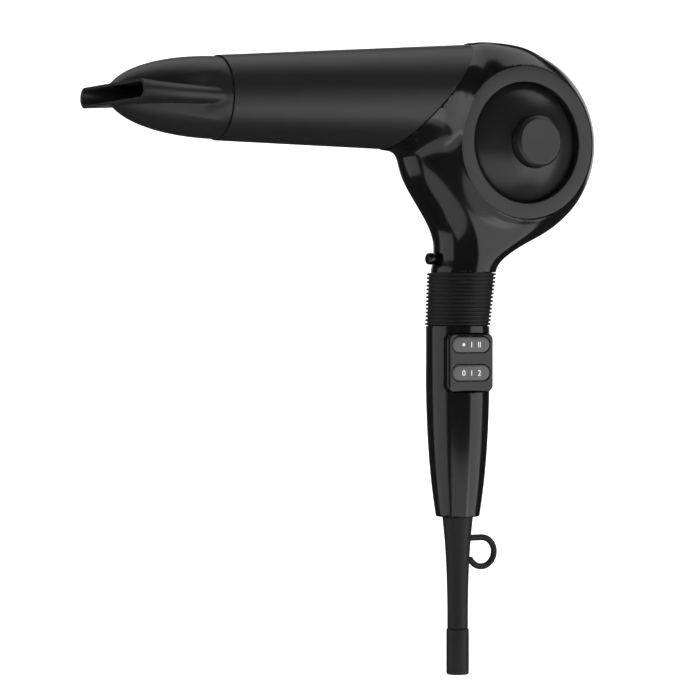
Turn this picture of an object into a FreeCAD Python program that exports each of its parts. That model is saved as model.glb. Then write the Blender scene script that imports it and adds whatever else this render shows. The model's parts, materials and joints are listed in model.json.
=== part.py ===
"""Side-fan hair dryer, built the way it would come apart on a bench.

Millimetres, +Z up.  The origin is the mouth of the cord bore, at the bottom of
the cord collar on the axis of the handle.  The nozzle points to -X, the
switches and the round side disc face -Y, and the air intake faces +Y.
"""
import math
import os

import FreeCAD
import Part

V = FreeCAD.Vector
OUT = "parts"
os.makedirs(OUT, exist_ok=True)

# ---------------------------------------------------------------- driving sizes
WALL = 2.0                  # wall of the two housing halves
FIT = 0.10                  # all-round gap where one fixed piece seats in another
SLIDE = 0.30                # all-round gap beside anything that moves
RUN = 0.05                  # radial running fit of a pin or a shaft
FACE_GAP = 0.30             # gap between faces that part or turn against each other

# cord end, from the bottom up
COLLAR_R = 6.45
COLLAR_H = 26.2
CORD_R = 3.5
BOOT_TOP_R = 9.2
BOOT_FOOT_R = 5.9
HOOK_WIRE_R = 1.75
HOOK_R = 8.3
HOOK_X = 15.7
HOOK_DROP = 12.6            # from the top of the boot down to the hook's top bar
HOOK_TURN = 239.0           # degrees that the hook curls round

# handle
HANDLE_FOOT_Z = 90.0
HANDLE_FOOT_R = 12.4
HANDLE_H = 108.4
HANDLE_R = 18.3
SLEEVE_H = 30.7
SLEEVE_RIBS = 14
SLEEVE_THICK = 1.5
RIB_PROUD = 0.85
SLEEVE_LEAN = 2.6           # how far the sleeve's top stands back from its foot
NECK_BASE_R = 18.6          # half width of the neck where it meets the sleeve

# fan drum
DRUM_X = 33.9
DRUM_RISE = 73.9            # from the top of the sleeve up to the fan's axis
DRUM_R = 55.3
DRUM_HALF = 20.5            # from the middle plane to the face of the side ring
RING_R = 43.8
RING_IN_R = 34.5
RING_DEPTH = 5.0
DOME_RISE = 8.0
RIM_MARGIN = 0.2            # flat left round the ring before the rim slopes away
BUTTON_R = 14.5
BUTTON_PROUD = 14.8
BUTTON_TRAVEL = 2.5

# barrel and throat
BARREL_FRONT_X = -152.0
BARREL_FRONT_R = 23.4
BARREL_FRONT_UP = 20.4      # barrel's axis above the fan's axis, at the front
BARREL_ROOT_R = 30.8        # at X = 0
BARREL_ROOT_UP = 24.8       # at X = 0
BARREL_WALL = 1.8
THROAT_PROUD = 0.6
CUT_TOP_X = 5.4             # the slanted joint between barrel and housing
CUT_LOW_X = -47.0
CUT_LOW_DOWN = 5.0          # below the fan's axis

# nozzle
NOZZLE_LEN = 62.0
NOZZLE_STEP = 0.8           # the barrel's lip stands out this much from the nozzle
NOZZLE_WALL = 1.6
MOUTH_W = 86.6
MOUTH_H = 11.4
SPIGOT_L = 14.0
NOZZLE_PULL = 22.0

# switches
PANEL_W = 29.6
PANEL_H = 33.5
PANEL_WALL = 2.0
PANEL_FACE = 15.2           # from the handle axis to the switch face
PANEL_TOP_DROP = 3.9        # from the sleeve's foot down to the panel's top
PILL_W = 24.4
PILL_H = 8.9
PILL_PITCH = 16.0
PILL_TOP_GAP = 6.5          # from the panel's top down to the middle of the upper rocker
SHOT_R = 3.4
SHOT_TRAVEL = 2.0
SHOT_UP = 7.5               # above the top of the sleeve

# fan and motor
FAN_R = 38.0
FAN_BLADES = 32
FAN_SPAN = 24.0
MOTOR_R = 13.5
MOTOR_L = 26.0
SHAFT_R = 1.5
INTAKE_R = 31.0
COVER_PULL = 12.0

# ---------------------------------------------------------------- derived places
BOOT_TOP_Z = HANDLE_FOOT_Z
SLEEVE_Z0 = HANDLE_FOOT_Z + HANDLE_H
SLEEVE_Z1 = SLEEVE_Z0 + SLEEVE_H
SHOT_Z = SLEEVE_Z1 + SHOT_UP
DRUM_Z = SLEEVE_Z1 + DRUM_RISE
BARREL_FRONT_Z = DRUM_Z + BARREL_FRONT_UP
BARREL_ROOT_Z = DRUM_Z + BARREL_ROOT_UP
CUT_LOW_Z = DRUM_Z - CUT_LOW_DOWN
PANEL_Z1 = SLEEVE_Z0 - PANEL_TOP_DROP
PANEL_Z0 = PANEL_Z1 - PANEL_H
PILL_Z = [PANEL_Z1 - PILL_TOP_GAP, PANEL_Z1 - PILL_TOP_GAP - PILL_PITCH]
NOZZLE_BACK_X = BARREL_FRONT_X - FACE_GAP
MOUTH_X = NOZZLE_BACK_X - NOZZLE_LEN
NOZZLE_Z = BARREL_FRONT_Z
HOOK_Z = BOOT_TOP_Z - HOOK_DROP - HOOK_R
X_AXIS, Y_AXIS, Z_AXIS = V(1, 0, 0), V(0, 1, 0), V(0, 0, 1)
BIG = 600.0                 # longer than the whole dryer, for cutting blocks


# ---------------------------------------------------------------- small helpers
def save(name, *solids):
    """Write one node: one solid, or several separate ones in a compound."""
    flat = []
    for item in solids:
        flat.extend(item.Solids)
    shape = flat[0] if len(flat) == 1 else Part.makeCompound(flat)
    shape.exportStep(f"{OUT}/{name}.step")
    print(f"{name:24s} solids {len(flat):3d}  volume {shape.Volume:10.1f}  valid {shape.isValid()}")


def fuse(first, *others):
    return first.multiFuse(list(others)).removeSplitter() if others else first


def cyl_y(x, z, r, y0, y1):
    return Part.makeCylinder(r, y1 - y0, V(x, y0, z), Y_AXIS)


def cyl_x(y, z, r, x0, x1):
    return Part.makeCylinder(r, x1 - x0, V(x0, y, z), X_AXIS)


def cyl_z(x, y, r, z0, z1):
    return Part.makeCylinder(r, z1 - z0, V(x, y, z0), Z_AXIS)


def box(x0, x1, y0, y1, z0, z1):
    return Part.makeBox(x1 - x0, y1 - y0, z1 - z0, V(x0, y0, z0))


def ring_y(x, z, r_out, r_in, y0, y1):
    return cyl_y(x, z, r_out, y0, y1).cut(cyl_y(x, z, r_in, y0 - 1, y1 + 1))


def closed_face(edges):
    return Part.Face(Part.Wire(Part.__sortEdges__(edges)))


def line(a, b):
    return Part.makeLine(a, b)


def smooth(points, start=None, end=None):
    """A smooth curve through a few points, with end tangents where they matter."""
    curve = Part.BSplineCurve()
    if start and end:
        curve.interpolate(Points=points, InitialTangent=start, FinalTangent=end)
    else:
        curve.interpolate(Points=points)
    return curve.toShape()


def bezier(*poles):
    curve = Part.BezierCurve()
    curve.setPoles(list(poles))
    return curve.toShape()


def ellipse_x(x, z, half_y, half_z):
    """Wire of an ellipse in a plane across the X axis."""
    if abs(half_y - half_z) < 1e-6:
        return Part.Wire(Part.Circle(V(x, 0, z), X_AXIS, half_z).toShape())
    major, minor = max(half_y, half_z), min(half_y, half_z)
    if half_z > half_y:
        return Part.Wire(Part.Ellipse(V(x, 0, z + major), V(x, minor, z), V(x, 0, z)).toShape())
    return Part.Wire(Part.Ellipse(V(x, major, z), V(x, 0, z + minor), V(x, 0, z)).toShape())


def stadium_x(x, z, half_y, half_z):
    """Wire of a slot with round ends, across the X axis and wide along Y."""
    flat = half_y - half_z
    a, b = V(x, -flat, z + half_z), V(x, flat, z + half_z)
    c, d = V(x, flat, z - half_z), V(x, -flat, z - half_z)
    right = Part.Arc(b, V(x, half_y, z), c).toShape()
    left = Part.Arc(d, V(x, -half_y, z), a).toShape()
    return Part.Wire([line(a, b), right, line(c, d), left])


def stadium_z(z, x0, x1, half_y):
    """Wire of a slot with round ends, level and long along X."""
    a, b = V(x0 + half_y, -half_y, z), V(x1 - half_y, -half_y, z)
    c, d = V(x1 - half_y, half_y, z), V(x0 + half_y, half_y, z)
    rear = Part.Arc(b, V(x1, 0, z), c).toShape()
    front = Part.Arc(d, V(x0, 0, z), a).toShape()
    return Part.Wire([line(a, b), rear, line(c, d), front])


def pill_y(x, z, w, h, y0, y1):
    """A bar with round ends, standing across Y."""
    r = h / 2
    flat = w / 2 - r
    a, b = V(x - flat, y0, z + r), V(x + flat, y0, z + r)
    c, d = V(x + flat, y0, z - r), V(x - flat, y0, z - r)
    right = Part.Arc(b, V(x + w / 2, y0, z), c).toShape()
    left = Part.Arc(d, V(x - w / 2, y0, z), a).toShape()
    return Part.Face(Part.Wire([line(a, b), right, line(c, d), left])).extrude(V(0, y1 - y0, 0))


def barrel_r(x):
    return BARREL_ROOT_R + (BARREL_ROOT_R - BARREL_FRONT_R) * x / -BARREL_FRONT_X


def barrel_z(x):
    return BARREL_ROOT_Z + (BARREL_ROOT_Z - BARREL_FRONT_Z) * x / -BARREL_FRONT_X


def cone(x0, x1, grow):
    """Length of the barrel's own cone, grown or shrunk all round."""
    wires = []
    for x in (x0, x1):
        wires.append(Part.Wire(Part.Circle(V(x, 0, barrel_z(x)), X_AXIS, barrel_r(x) + grow).toShape()))
    return Part.makeLoft(wires, True, True)


CUT_TOP_Z = barrel_z(CUT_TOP_X) + barrel_r(CUT_TOP_X)


def behind_cut(shift=0.0):
    """Everything behind the slanted joint, as one big block."""
    run = V(CUT_TOP_X - CUT_LOW_X, 0, CUT_TOP_Z - CUT_LOW_Z).normalize()
    side = V(run.z, 0, -run.x)
    base = V(CUT_LOW_X, 0, CUT_LOW_Z) + side * shift
    a = base - run * BIG
    b = base + run * BIG
    face = Part.Face(Part.makePolygon([a, b, b + side * BIG, a + side * BIG, a]))
    face.translate(V(0, -BIG / 2, 0))
    return face.extrude(V(0, BIG, 0))


# ---------------------------------------------------------------- housing form
def handle_form(inset):
    """Handle below the sleeve: a turned form with a gentle taper."""
    top = SLEEVE_Z0
    foot = HANDLE_FOOT_Z
    pts = [V(HANDLE_FOOT_R - inset, 0, foot),
           V(HANDLE_FOOT_R + 2.15 - inset, 0, foot + 0.14 * HANDLE_H),
           V(HANDLE_R - 2.0 - inset, 0, foot + 0.31 * HANDLE_H),
           V(HANDLE_R - 0.65 - inset, 0, foot + 0.47 * HANDLE_H),
           V(HANDLE_R - 0.15 - inset, 0, foot + 0.65 * HANDLE_H),
           V(HANDLE_R - inset, 0, top)]
    face = closed_face([smooth(pts), line(pts[-1], V(0, 0, top)), line(V(0, 0, top), V(0, 0, foot)),
                        line(V(0, 0, foot), pts[0])])
    turned = face.revolve(V(0, 0, 0), Z_AXIS, 360)
    return turned.cut(cyl_z(0, 0, HANDLE_R, foot - 1, foot + inset)) if inset else turned


def sleeve_core(inset):
    """The plain part of the housing that the rubber sleeve is stretched over."""
    depth = SLEEVE_THICK + inset
    low = Part.Wire(Part.Circle(V(0, 0, SLEEVE_Z0 - 1), Z_AXIS, HANDLE_R - depth).toShape())
    high = Part.Wire(Part.Circle(V(SLEEVE_LEAN, 0, SLEEVE_Z1 + 1), Z_AXIS, NECK_BASE_R + 0.6 - depth).toShape())
    return Part.makeLoft([low, high], True, True)


# front and back of the neck above the sleeve, as heights, front X and back X
NECK = [(0.0, -14.9, 22.6), (5.6, -13.8, 25.7), (9.5, -13.4, 29.2), (15.0, -13.4, 37.5),
        (22.0, -14.6, 50.0), (29.0, -17.6, 54.0), (36.0, -23.0, 55.0), (43.0, -28.6, 55.0),
        (50.0, -32.2, 55.0), (57.0, -34.8, 55.0), (64.0, -36.2, 55.0), (72.0, -37.0, 52.0)]


def neck_form(inset):
    wires = []
    for rise, front, back in NECK:
        half = min(NECK_BASE_R + 0.03 * rise, DRUM_HALF - 0.7) - inset
        wires.append(stadium_z(SLEEVE_Z1 + rise, front + inset, back - inset, half))
    return Part.makeLoft(wires, True, False)


def drum_form(inset):
    """Fan drum: flat faces and a rim that slopes out to the middle, turned about the fan's axis."""
    r, h = DRUM_R - inset, DRUM_HALF - inset
    edge = RING_R + RIM_MARGIN
    reach = DRUM_R - RING_R
    o = V(DRUM_X, 0, DRUM_Z)
    a, b = o + V(0, -h, 0), o + V(edge, -h, 0)
    c = o + V(r, 0, 0)
    e, f = o + V(edge, h, 0), o + V(0, h, 0)
    near = bezier(b, b + V(0.3 * reach, 0.25 * h, 0), c + V(0, -0.35 * h, 0), c)
    far = bezier(c, c + V(0, 0.35 * h, 0), e + V(0.3 * reach, -0.25 * h, 0), e)
    face = closed_face([line(a, b), near, far, line(e, f), line(f, a)])
    return face.revolve(o, Y_AXIS, 360)


# throat sections: X, half width along Y as a share of the barrel's radius there
THROAT = [(-62, 1.0), (-40, 1.0), (-26, 1.0), (-13, 0.965), (-3, 0.86), (8, 0.70), (22, 0.60)]


def throat_form(inset):
    wires = []
    for x, share in THROAT:
        r = barrel_r(x) + THROAT_PROUD - inset
        wires.append(ellipse_x(x, barrel_z(x), r * share - 0.001, r))
    end = barrel_r(40) - 3.6 - inset
    wires.append(ellipse_x(40, barrel_z(40) - 2.4, end * 0.58, end))
    return Part.makeLoft(wires, True, False)


def housing_form(inset):
    throat = throat_form(inset).common(behind_cut(0.0 if inset == 0 else -6.0))
    return fuse(drum_form(inset), neck_form(inset), throat, handle_form(inset), sleeve_core(inset))


SEAT_R = RING_R + WALL + 0.6
OUTSIDE = housing_form(0)
INSIDE = housing_form(WALL)
for seat_y in (-DRUM_HALF + WALL - 40, DRUM_HALF - WALL):
    INSIDE = INSIDE.cut(cyl_y(DRUM_X, DRUM_Z, SEAT_R, seat_y, seat_y + 40))
NEAR_SIDE = box(-400, 400, -400, 0, -400, 800)
FAR_SIDE = box(-400, 400, 0, 400, -400, 800)
DISC = V(DRUM_X, 0, DRUM_Z)


def on_drum(radius, degrees):
    """X and Z of a point on a circle about the fan's axis."""
    a = math.radians(degrees)
    return DRUM_X + radius * math.cos(a), DRUM_Z + radius * math.sin(a)


def spring(x, y, z, axis, length, radius, wire, turns):
    """A coil spring along an axis: each half turn is a tilted arc that meets the next one square."""
    rise = length / (2 * turns)
    arcs = []
    for k in range(2 * turns):
        side = -1 if k % 2 else 1
        start = V(side * radius, 0, k * rise)
        disc = Part.Face(Part.Wire(Part.Circle(start, Y_AXIS, wire).toShape()))
        arcs.append(disc.revolve(V(0, 0, (k + 0.5) * rise), V(side * rise / 2, 0, radius), 180))
    wound = fuse(*arcs)
    wound.Placement = FreeCAD.Placement(V(x, y, z), FreeCAD.Rotation(Z_AXIS, axis))
    return wound


# ---------------------------------------------------------------- housing halves
SCREW_R = 1.5
SCREW_HEAD_R = 2.8
SCREW_SEAT_Y = 6.0
BOSS_R = 4.3
BOSS_RING = DRUM_R - WALL - 6.5
SCREW_SPOTS = [on_drum(BOSS_RING, -28), on_drum(BOSS_RING, 52),
               (8.0, SLEEVE_Z1 + 21.0), (0.0, HANDLE_FOOT_Z + 0.42 * HANDLE_H)]
SHOT_FRONT_X = -13.6        # skin of the neck where the plunger comes out

HOUSING = OUTSIDE.cut(INSIDE)
FOOT_HOLE_R = 7.2


def panel_block(grow):
    half = PANEL_W / 2 + grow
    block = box(-half, half, -PANEL_FACE - grow, -PANEL_FACE + 8 + grow, PANEL_Z0 - grow, PANEL_Z1 + grow)
    outer = [e for e in block.Edges if abs(e.CenterOfMass.y + PANEL_FACE + grow) < 1e-6
             or (abs(abs(e.CenterOfMass.x) - half) < 1e-6 and e.Length < 9)]
    return block.makeFillet(1.6, outer)


def panel_window():
    """Clears the round skin of the handle off the flat switch face."""
    half, low, high = PANEL_W / 2 + FIT, PANEL_Z0 - FIT, PANEL_Z1 + FIT
    window = box(-half, half, -PANEL_FACE - 20, -PANEL_FACE + 2, low, high)
    return window.makeFillet(1.6, [e for e in window.Edges if abs(e.tangentAt(0).y) > 0.9])


def housing_half(side, far):
    tubes = [Part.makeCylinder(BOSS_R, 2 * DRUM_HALF + 20, V(x, -DRUM_HALF - 10, z), Y_AXIS)
             for x, z in SCREW_SPOTS]
    posts = fuse(*tubes).common(OUTSIDE)
    half = HOUSING.fuse(posts).common(side)
    half = half.cut(cyl_z(0, 0, FOOT_HOLE_R, HANDLE_FOOT_Z - 5, HANDLE_FOOT_Z + 8))
    half = half.cut(cyl_x(0, SHOT_Z, SHOT_R + 0.5, -40, SHOT_FRONT_X + 0.7))
    half = half.cut(cyl_x(0, SHOT_Z, SHOT_R - 1.2 + SLIDE, -40, SHOT_FRONT_X + 8))
    if far:
        half = half.cut(cyl_y(DRUM_X, DRUM_Z, INTAKE_R, 1, DRUM_HALF + 5))
        half = half.cut(cyl_y(DRUM_X, DRUM_Z, RING_R + SLIDE, DRUM_HALF, DRUM_HALF + 40))
        for x, z in SCREW_SPOTS:
            half = half.cut(cyl_y(x, z, SCREW_HEAD_R + FIT, SCREW_SEAT_Y, 60))
            half = half.cut(cyl_y(x, z, SCREW_R + FIT, -1, 60))
    else:
        half = half.cut(cyl_y(DRUM_X, DRUM_Z, RING_R + FIT, -DRUM_HALF - 30, -1))
        half = half.cut(panel_block(FIT)).cut(panel_window())
        half = half.cut(box(-PANEL_W / 2 + 2, PANEL_W / 2 - 2, -PANEL_FACE, -1, PANEL_Z0 + 2, PANEL_Z1 - 2))
        for x, z in SCREW_SPOTS:
            half = half.cut(cyl_y(x, z, SCREW_R + FIT / 2, -9, 1))
    return half


save("housing_near", housing_half(NEAR_SIDE, False))
save("housing_far", housing_half(FAR_SIDE, True))


def housing_screw(x, z):
    shank = cyl_y(x, z, SCREW_R, -8.5, SCREW_SEAT_Y)
    head = cyl_y(x, z, SCREW_HEAD_R, SCREW_SEAT_Y, SCREW_SEAT_Y + 2.0)
    slot = box(x - 2.0, x + 2.0, SCREW_SEAT_Y + 1.2, SCREW_SEAT_Y + 3, z - 0.4, z + 0.4)
    cross = box(x - 0.4, x + 0.4, SCREW_SEAT_Y + 1.2, SCREW_SEAT_Y + 3, z - 2.0, z + 2.0)
    return fuse(shank, head).cut(slot).cut(cross)


save("housing_screws", *[housing_screw(x, z) for x, z in SCREW_SPOTS])

# ---------------------------------------------------------------- side disc
RECESS_Y = -DRUM_HALF + RING_DEPTH
LEDGE_Y = RECESS_Y + 2.0


def side_ring():
    band = ring_y(DRUM_X, DRUM_Z, RING_R, RING_IN_R, -DRUM_HALF, -DRUM_HALF + 3.4)
    wall = ring_y(DRUM_X, DRUM_Z, RING_IN_R + 2.0, RING_IN_R, -DRUM_HALF + 1, LEDGE_Y + 1.4)
    ledge = ring_y(DRUM_X, DRUM_Z, RING_IN_R + 1.0, RING_IN_R - 2.4, LEDGE_Y, LEDGE_Y + 1.4)
    ring = fuse(band, wall, ledge)
    lips = [e for e in ring.Edges if abs(e.CenterOfMass.y + DRUM_HALF) < 1e-6]
    return ring.makeFillet(0.5, lips)


DOME_EDGE_R = RING_IN_R - FIT
DOME_CROWN_Y = -DRUM_HALF - DOME_RISE - 2.2
DOME_H = RECESS_Y - DOME_CROWN_Y
DOME_BALL_R = (DOME_EDGE_R ** 2 + DOME_H ** 2) / (2 * DOME_H)
DOME_BALL_Y = DOME_CROWN_Y + DOME_BALL_R
DOME_WALL = 2.0


def side_dome():
    ball = Part.makeSphere(DOME_BALL_R, V(DRUM_X, DOME_BALL_Y, DRUM_Z))
    hollow = Part.makeSphere(DOME_BALL_R - DOME_WALL, V(DRUM_X, DOME_BALL_Y, DRUM_Z))
    cap = ball.cut(hollow).common(cyl_y(DRUM_X, DRUM_Z, DOME_EDGE_R, DOME_CROWN_Y - 1, RECESS_Y))
    rim = ring_y(DRUM_X, DRUM_Z, DOME_EDGE_R, DOME_EDGE_R - 3.4, RECESS_Y - 0.3, LEDGE_Y - FIT / 2)
    body = fuse(cap, rim)
    return body.cut(cyl_y(DRUM_X, DRUM_Z, BUTTON_R + SLIDE, DOME_CROWN_Y - 5, RECESS_Y + 5))


save("side_ring", side_ring())
save("side_dome", side_dome())

BUTTON_FACE_Y = -DRUM_HALF - BUTTON_PROUD
BUTTON_BACK_Y = BUTTON_FACE_Y + 11.2
STEM_END_Y = BUTTON_BACK_Y + 2.4
CARRIER_Y = STEM_END_Y + BUTTON_TRAVEL + 1.4


def centre_button():
    cap = cyl_y(DRUM_X, DRUM_Z, BUTTON_R, BUTTON_FACE_Y, BUTTON_BACK_Y)
    rim = [e for e in cap.Edges if abs(e.CenterOfMass.y - BUTTON_FACE_Y) < 1e-6]
    cap = cap.makeFillet(1.1, rim)
    cap = cap.cut(cyl_y(DRUM_X, DRUM_Z, BUTTON_R - 2.0, BUTTON_FACE_Y + 2.2, BUTTON_BACK_Y + 1))
    flange = ring_y(DRUM_X, DRUM_Z, BUTTON_R + 1.5, BUTTON_R - 2.0, BUTTON_BACK_Y - 1.2, BUTTON_BACK_Y)
    stem = cyl_y(DRUM_X, DRUM_Z, 2.5, BUTTON_FACE_Y + 1.5, STEM_END_Y)
    return fuse(cap, flange, stem)


def button_carrier():
    plate = cyl_y(DRUM_X, DRUM_Z, 24.0, CARRIER_Y, CARRIER_Y + 1.2)
    posts = []
    for k in range(3):
        x, z = on_drum(22.0, 90 + 120 * k)
        posts.append(cyl_y(x, z, 1.8, CARRIER_Y - 8.0, CARRIER_Y + 0.5))
    under = Part.makeSphere(DOME_BALL_R - DOME_WALL - FIT / 2, V(DRUM_X, DOME_BALL_Y, DRUM_Z))
    return fuse(plate, *posts).common(under)


save("centre_button", centre_button())
save("button_carrier", button_carrier())
save("button_switch", box(DRUM_X - 3, DRUM_X + 3, CARRIER_Y - 1.2, CARRIER_Y - 0.02, DRUM_Z - 3, DRUM_Z + 3))
save("button_spring", spring(DRUM_X, BUTTON_FACE_Y + 2.7, DRUM_Z, Y_AXIS,
                             CARRIER_Y - BUTTON_FACE_Y - 3.2, 6.0, 0.4, 6))

# ---------------------------------------------------------------- intake side
COVER_Y = DRUM_HALF + FACE_GAP
COVER_RISE = 4.6
COVER_BALL_R = (RING_R ** 2 + COVER_RISE ** 2) / (2 * COVER_RISE)


def intake_cover():
    centre = V(DRUM_X, COVER_Y + 2.0 + COVER_RISE - COVER_BALL_R, DRUM_Z)
    lens = Part.makeSphere(COVER_BALL_R, centre).common(
        cyl_y(DRUM_X, DRUM_Z, RING_R, COVER_Y, COVER_Y + 10))
    inner = Part.makeSphere(COVER_BALL_R - 2.2, centre)
    skin = lens.cut(inner.common(cyl_y(DRUM_X, DRUM_Z, RING_R - 3, COVER_Y - 1, COVER_Y + 10)))
    spigot = ring_y(DRUM_X, DRUM_Z, INTAKE_R - 0.4, INTAKE_R - 2.0, COVER_Y - 1.6, COVER_Y + 3.0)
    cover = fuse(skin, spigot)
    slots = []
    for ring in range(5):
        mid = 6.5 + 5.0 * ring
        count = 6 + 6 * ring
        web = 1.6
        for k in range(count):
            span = 360.0 / count - math.degrees(web / mid)
            slots.append(arc_bar(mid - 1.5, mid + 1.5, 360.0 * k / count, span, COVER_Y + 1, COVER_Y + 10))
    return cover.cut(Part.makeCompound(slots))


def arc_bar(r_in, r_out, start, span, y0, y1):
    """Bar bent round the fan's axis."""
    a, b = V(DRUM_X + r_in, y0, DRUM_Z), V(DRUM_X + r_out, y0, DRUM_Z)
    c, d = V(DRUM_X + r_out, y1, DRUM_Z), V(DRUM_X + r_in, y1, DRUM_Z)
    face = Part.Face(Part.makePolygon([a, b, c, d, a]))
    bar = face.revolve(DISC, V(0, -1, 0), span)
    bar.rotate(DISC, V(0, -1, 0), start)
    return bar


def filter_mesh():
    hoop = ring_y(DRUM_X, DRUM_Z, INTAKE_R - 2.3, INTAKE_R - 3.5, COVER_Y - 1.0, COVER_Y + 0.6)
    wires = []
    reach = INTAKE_R - 2.8
    for k in range(-6, 7):
        gap = 4.0 * k
        half = math.sqrt(reach ** 2 - gap ** 2)
        wires.append(box(DRUM_X - half, DRUM_X + half, COVER_Y - 0.4, COVER_Y - 0.1,
                         DRUM_Z + gap - 0.15, DRUM_Z + gap + 0.15))
        wires.append(box(DRUM_X + gap - 0.15, DRUM_X + gap + 0.15, COVER_Y - 0.2, COVER_Y + 0.1,
                         DRUM_Z - half, DRUM_Z + half))
    return fuse(hoop, *wires)


save("intake_cover", intake_cover())
save("filter_mesh", filter_mesh())

# ---------------------------------------------------------------- fan and motor
MOTOR_Y0 = CARRIER_Y + 1.4
MOTOR_Y1 = MOTOR_Y0 + MOTOR_L
FAN_BACK_Y = -10.0
FAN_HUB_Y = MOTOR_Y1 + 2.2
SHAFT_END_Y = FAN_HUB_Y + 3.4
BLADE_IN_R = FAN_R - 7.0


def impeller():
    o = DISC
    out = [o + V(MOTOR_R + 2.0, FAN_HUB_Y + 1.5, 0), o + V(BLADE_IN_R, FAN_BACK_Y + 1.5, 0)]
    inn = [o + V(MOTOR_R + 1.0, FAN_HUB_Y, 0), o + V(BLADE_IN_R - 0.6, FAN_BACK_Y, 0)]
    rim_top, rim_low = o + V(FAN_R, FAN_BACK_Y + 1.5, 0), o + V(FAN_R, FAN_BACK_Y, 0)
    mid_top, mid_low = o + V(0, FAN_HUB_Y + 1.5, 0), o + V(0, FAN_HUB_Y, 0)
    points = [mid_top, out[0], out[1], rim_top, rim_low, inn[1], inn[0], mid_low, mid_top]
    hub = Part.Face(Part.makePolygon(points)).revolve(o, Y_AXIS, 360)
    nose = cyl_y(DRUM_X, DRUM_Z, 4.0, FAN_HUB_Y - 1.0, FAN_HUB_Y + 3.0)
    hoop = ring_y(DRUM_X, DRUM_Z, FAN_R, BLADE_IN_R, FAN_BACK_Y + FAN_SPAN, FAN_BACK_Y + FAN_SPAN + 1.2)
    blades = []
    for k in range(FAN_BLADES):
        blade = box(DRUM_X + BLADE_IN_R + 0.2, DRUM_X + FAN_R - 0.3, FAN_BACK_Y + 1.0,
                    FAN_BACK_Y + FAN_SPAN + 0.5, DRUM_Z - 0.4, DRUM_Z + 0.4)
        blade.rotate(V(DRUM_X + BLADE_IN_R, 0, DRUM_Z), Y_AXIS, 32)
        blade = blade.common(ring_y(DRUM_X, DRUM_Z, FAN_R - 0.1, BLADE_IN_R - 0.5, -60, 60))
        blade.rotate(DISC, Y_AXIS, 360.0 * k / FAN_BLADES)
        blades.append(blade)
    wheel = fuse(hub, nose, hoop, *blades)
    return wheel.cut(cyl_y(DRUM_X, DRUM_Z, SHAFT_R, FAN_HUB_Y - 3, SHAFT_END_Y))


BUSH_R = 4.0
BUSH_L = 3.2


def motor_can():
    can = cyl_y(DRUM_X, DRUM_Z, MOTOR_R, MOTOR_Y0 + 1.2, MOTOR_Y1)
    can = can.cut(cyl_y(DRUM_X, DRUM_Z, MOTOR_R - 1.0, MOTOR_Y0, MOTOR_Y1 - 1.2))
    return can.cut(cyl_y(DRUM_X, DRUM_Z, BUSH_R, MOTOR_Y1 - 5, MOTOR_Y1 + 1))


def motor_cap():
    lid = cyl_y(DRUM_X, DRUM_Z, MOTOR_R, MOTOR_Y0, MOTOR_Y0 + 1.2)
    step = cyl_y(DRUM_X, DRUM_Z, MOTOR_R - 1.0 - FIT / 2, MOTOR_Y0 + 1.2, MOTOR_Y0 + 2.4)
    return fuse(lid, step).cut(cyl_y(DRUM_X, DRUM_Z, BUSH_R, MOTOR_Y0 + 0.6, MOTOR_Y1))


def bush(y0):
    return ring_y(DRUM_X, DRUM_Z, BUSH_R, SHAFT_R + RUN, y0, y0 + BUSH_L)


def armature():
    core = ring_y(DRUM_X, DRUM_Z, 8.6, SHAFT_R, MOTOR_Y0 + 8, MOTOR_Y0 + 20)
    teeth = []
    for k in range(5):
        slot = box(DRUM_X + 4.2, DRUM_X + 9, MOTOR_Y0 + 7, MOTOR_Y0 + 21, DRUM_Z - 0.9, DRUM_Z + 0.9)
        slot.rotate(DISC, Y_AXIS, 72.0 * k)
        teeth.append(slot)
    commutator = ring_y(DRUM_X, DRUM_Z, 3.6, SHAFT_R, MOTOR_Y0 + 5, MOTOR_Y0 + 8)
    return fuse(core.cut(Part.makeCompound(teeth)), commutator)


def magnets():
    tube = ring_y(DRUM_X, DRUM_Z, MOTOR_R - 1.0 - 0.02, 9.2, MOTOR_Y0 + 6.5, MOTOR_Y0 + 21.5)
    gap = box(DRUM_X - 2.5, DRUM_X + 2.5, MOTOR_Y0, MOTOR_Y1, DRUM_Z - 30, DRUM_Z + 30)
    return tube.cut(gap)


BRACKET_Y = LEDGE_Y + 1.4 + FIT
ARM_ANGLES = [-100, 20, 140]


def motor_bracket():
    grip = ring_y(DRUM_X, DRUM_Z, MOTOR_R + 2.4, MOTOR_R + 0.02, BRACKET_Y - 3.0, BRACKET_Y + 1.4)
    arms = []
    for angle in ARM_ANGLES:
        arm = box(DRUM_X + MOTOR_R + 1.5, DRUM_X + DRUM_R, BRACKET_Y, BRACKET_Y + 1.4, DRUM_Z - 3.5, DRUM_Z + 3.5)
        arm.rotate(DISC, V(0, -1, 0), angle)
        arms.append(arm)
    return fuse(grip, *arms).common(drum_form(WALL + FIT))


save("impeller", impeller())
save("motor_shaft", cyl_y(DRUM_X, DRUM_Z, SHAFT_R, MOTOR_Y0 + 0.8, SHAFT_END_Y))
save("armature", armature())
save("motor_can", motor_can())
save("motor_cap", motor_cap())
save("motor_magnets", magnets())
save("front_bush", bush(MOTOR_Y1 - BUSH_L + 0.6))
save("rear_bush", bush(MOTOR_Y0 + 0.6))
save("motor_bracket", motor_bracket())
GUIDE_R = FAN_R + 5.4
GUIDE_WALL = 1.2
guide = arc_bar(GUIDE_R, GUIDE_R + GUIDE_WALL, 205, 120, BRACKET_Y + 1.8, DRUM_HALF - WALL - FIT)
save("air_guide", guide.common(drum_form(WALL + FIT)))

# ---------------------------------------------------------------- barrel and heater
SPIGOT_BACK = 5.0
SPIGOT_DEEP = WALL - THROAT_PROUD + FIT


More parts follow.
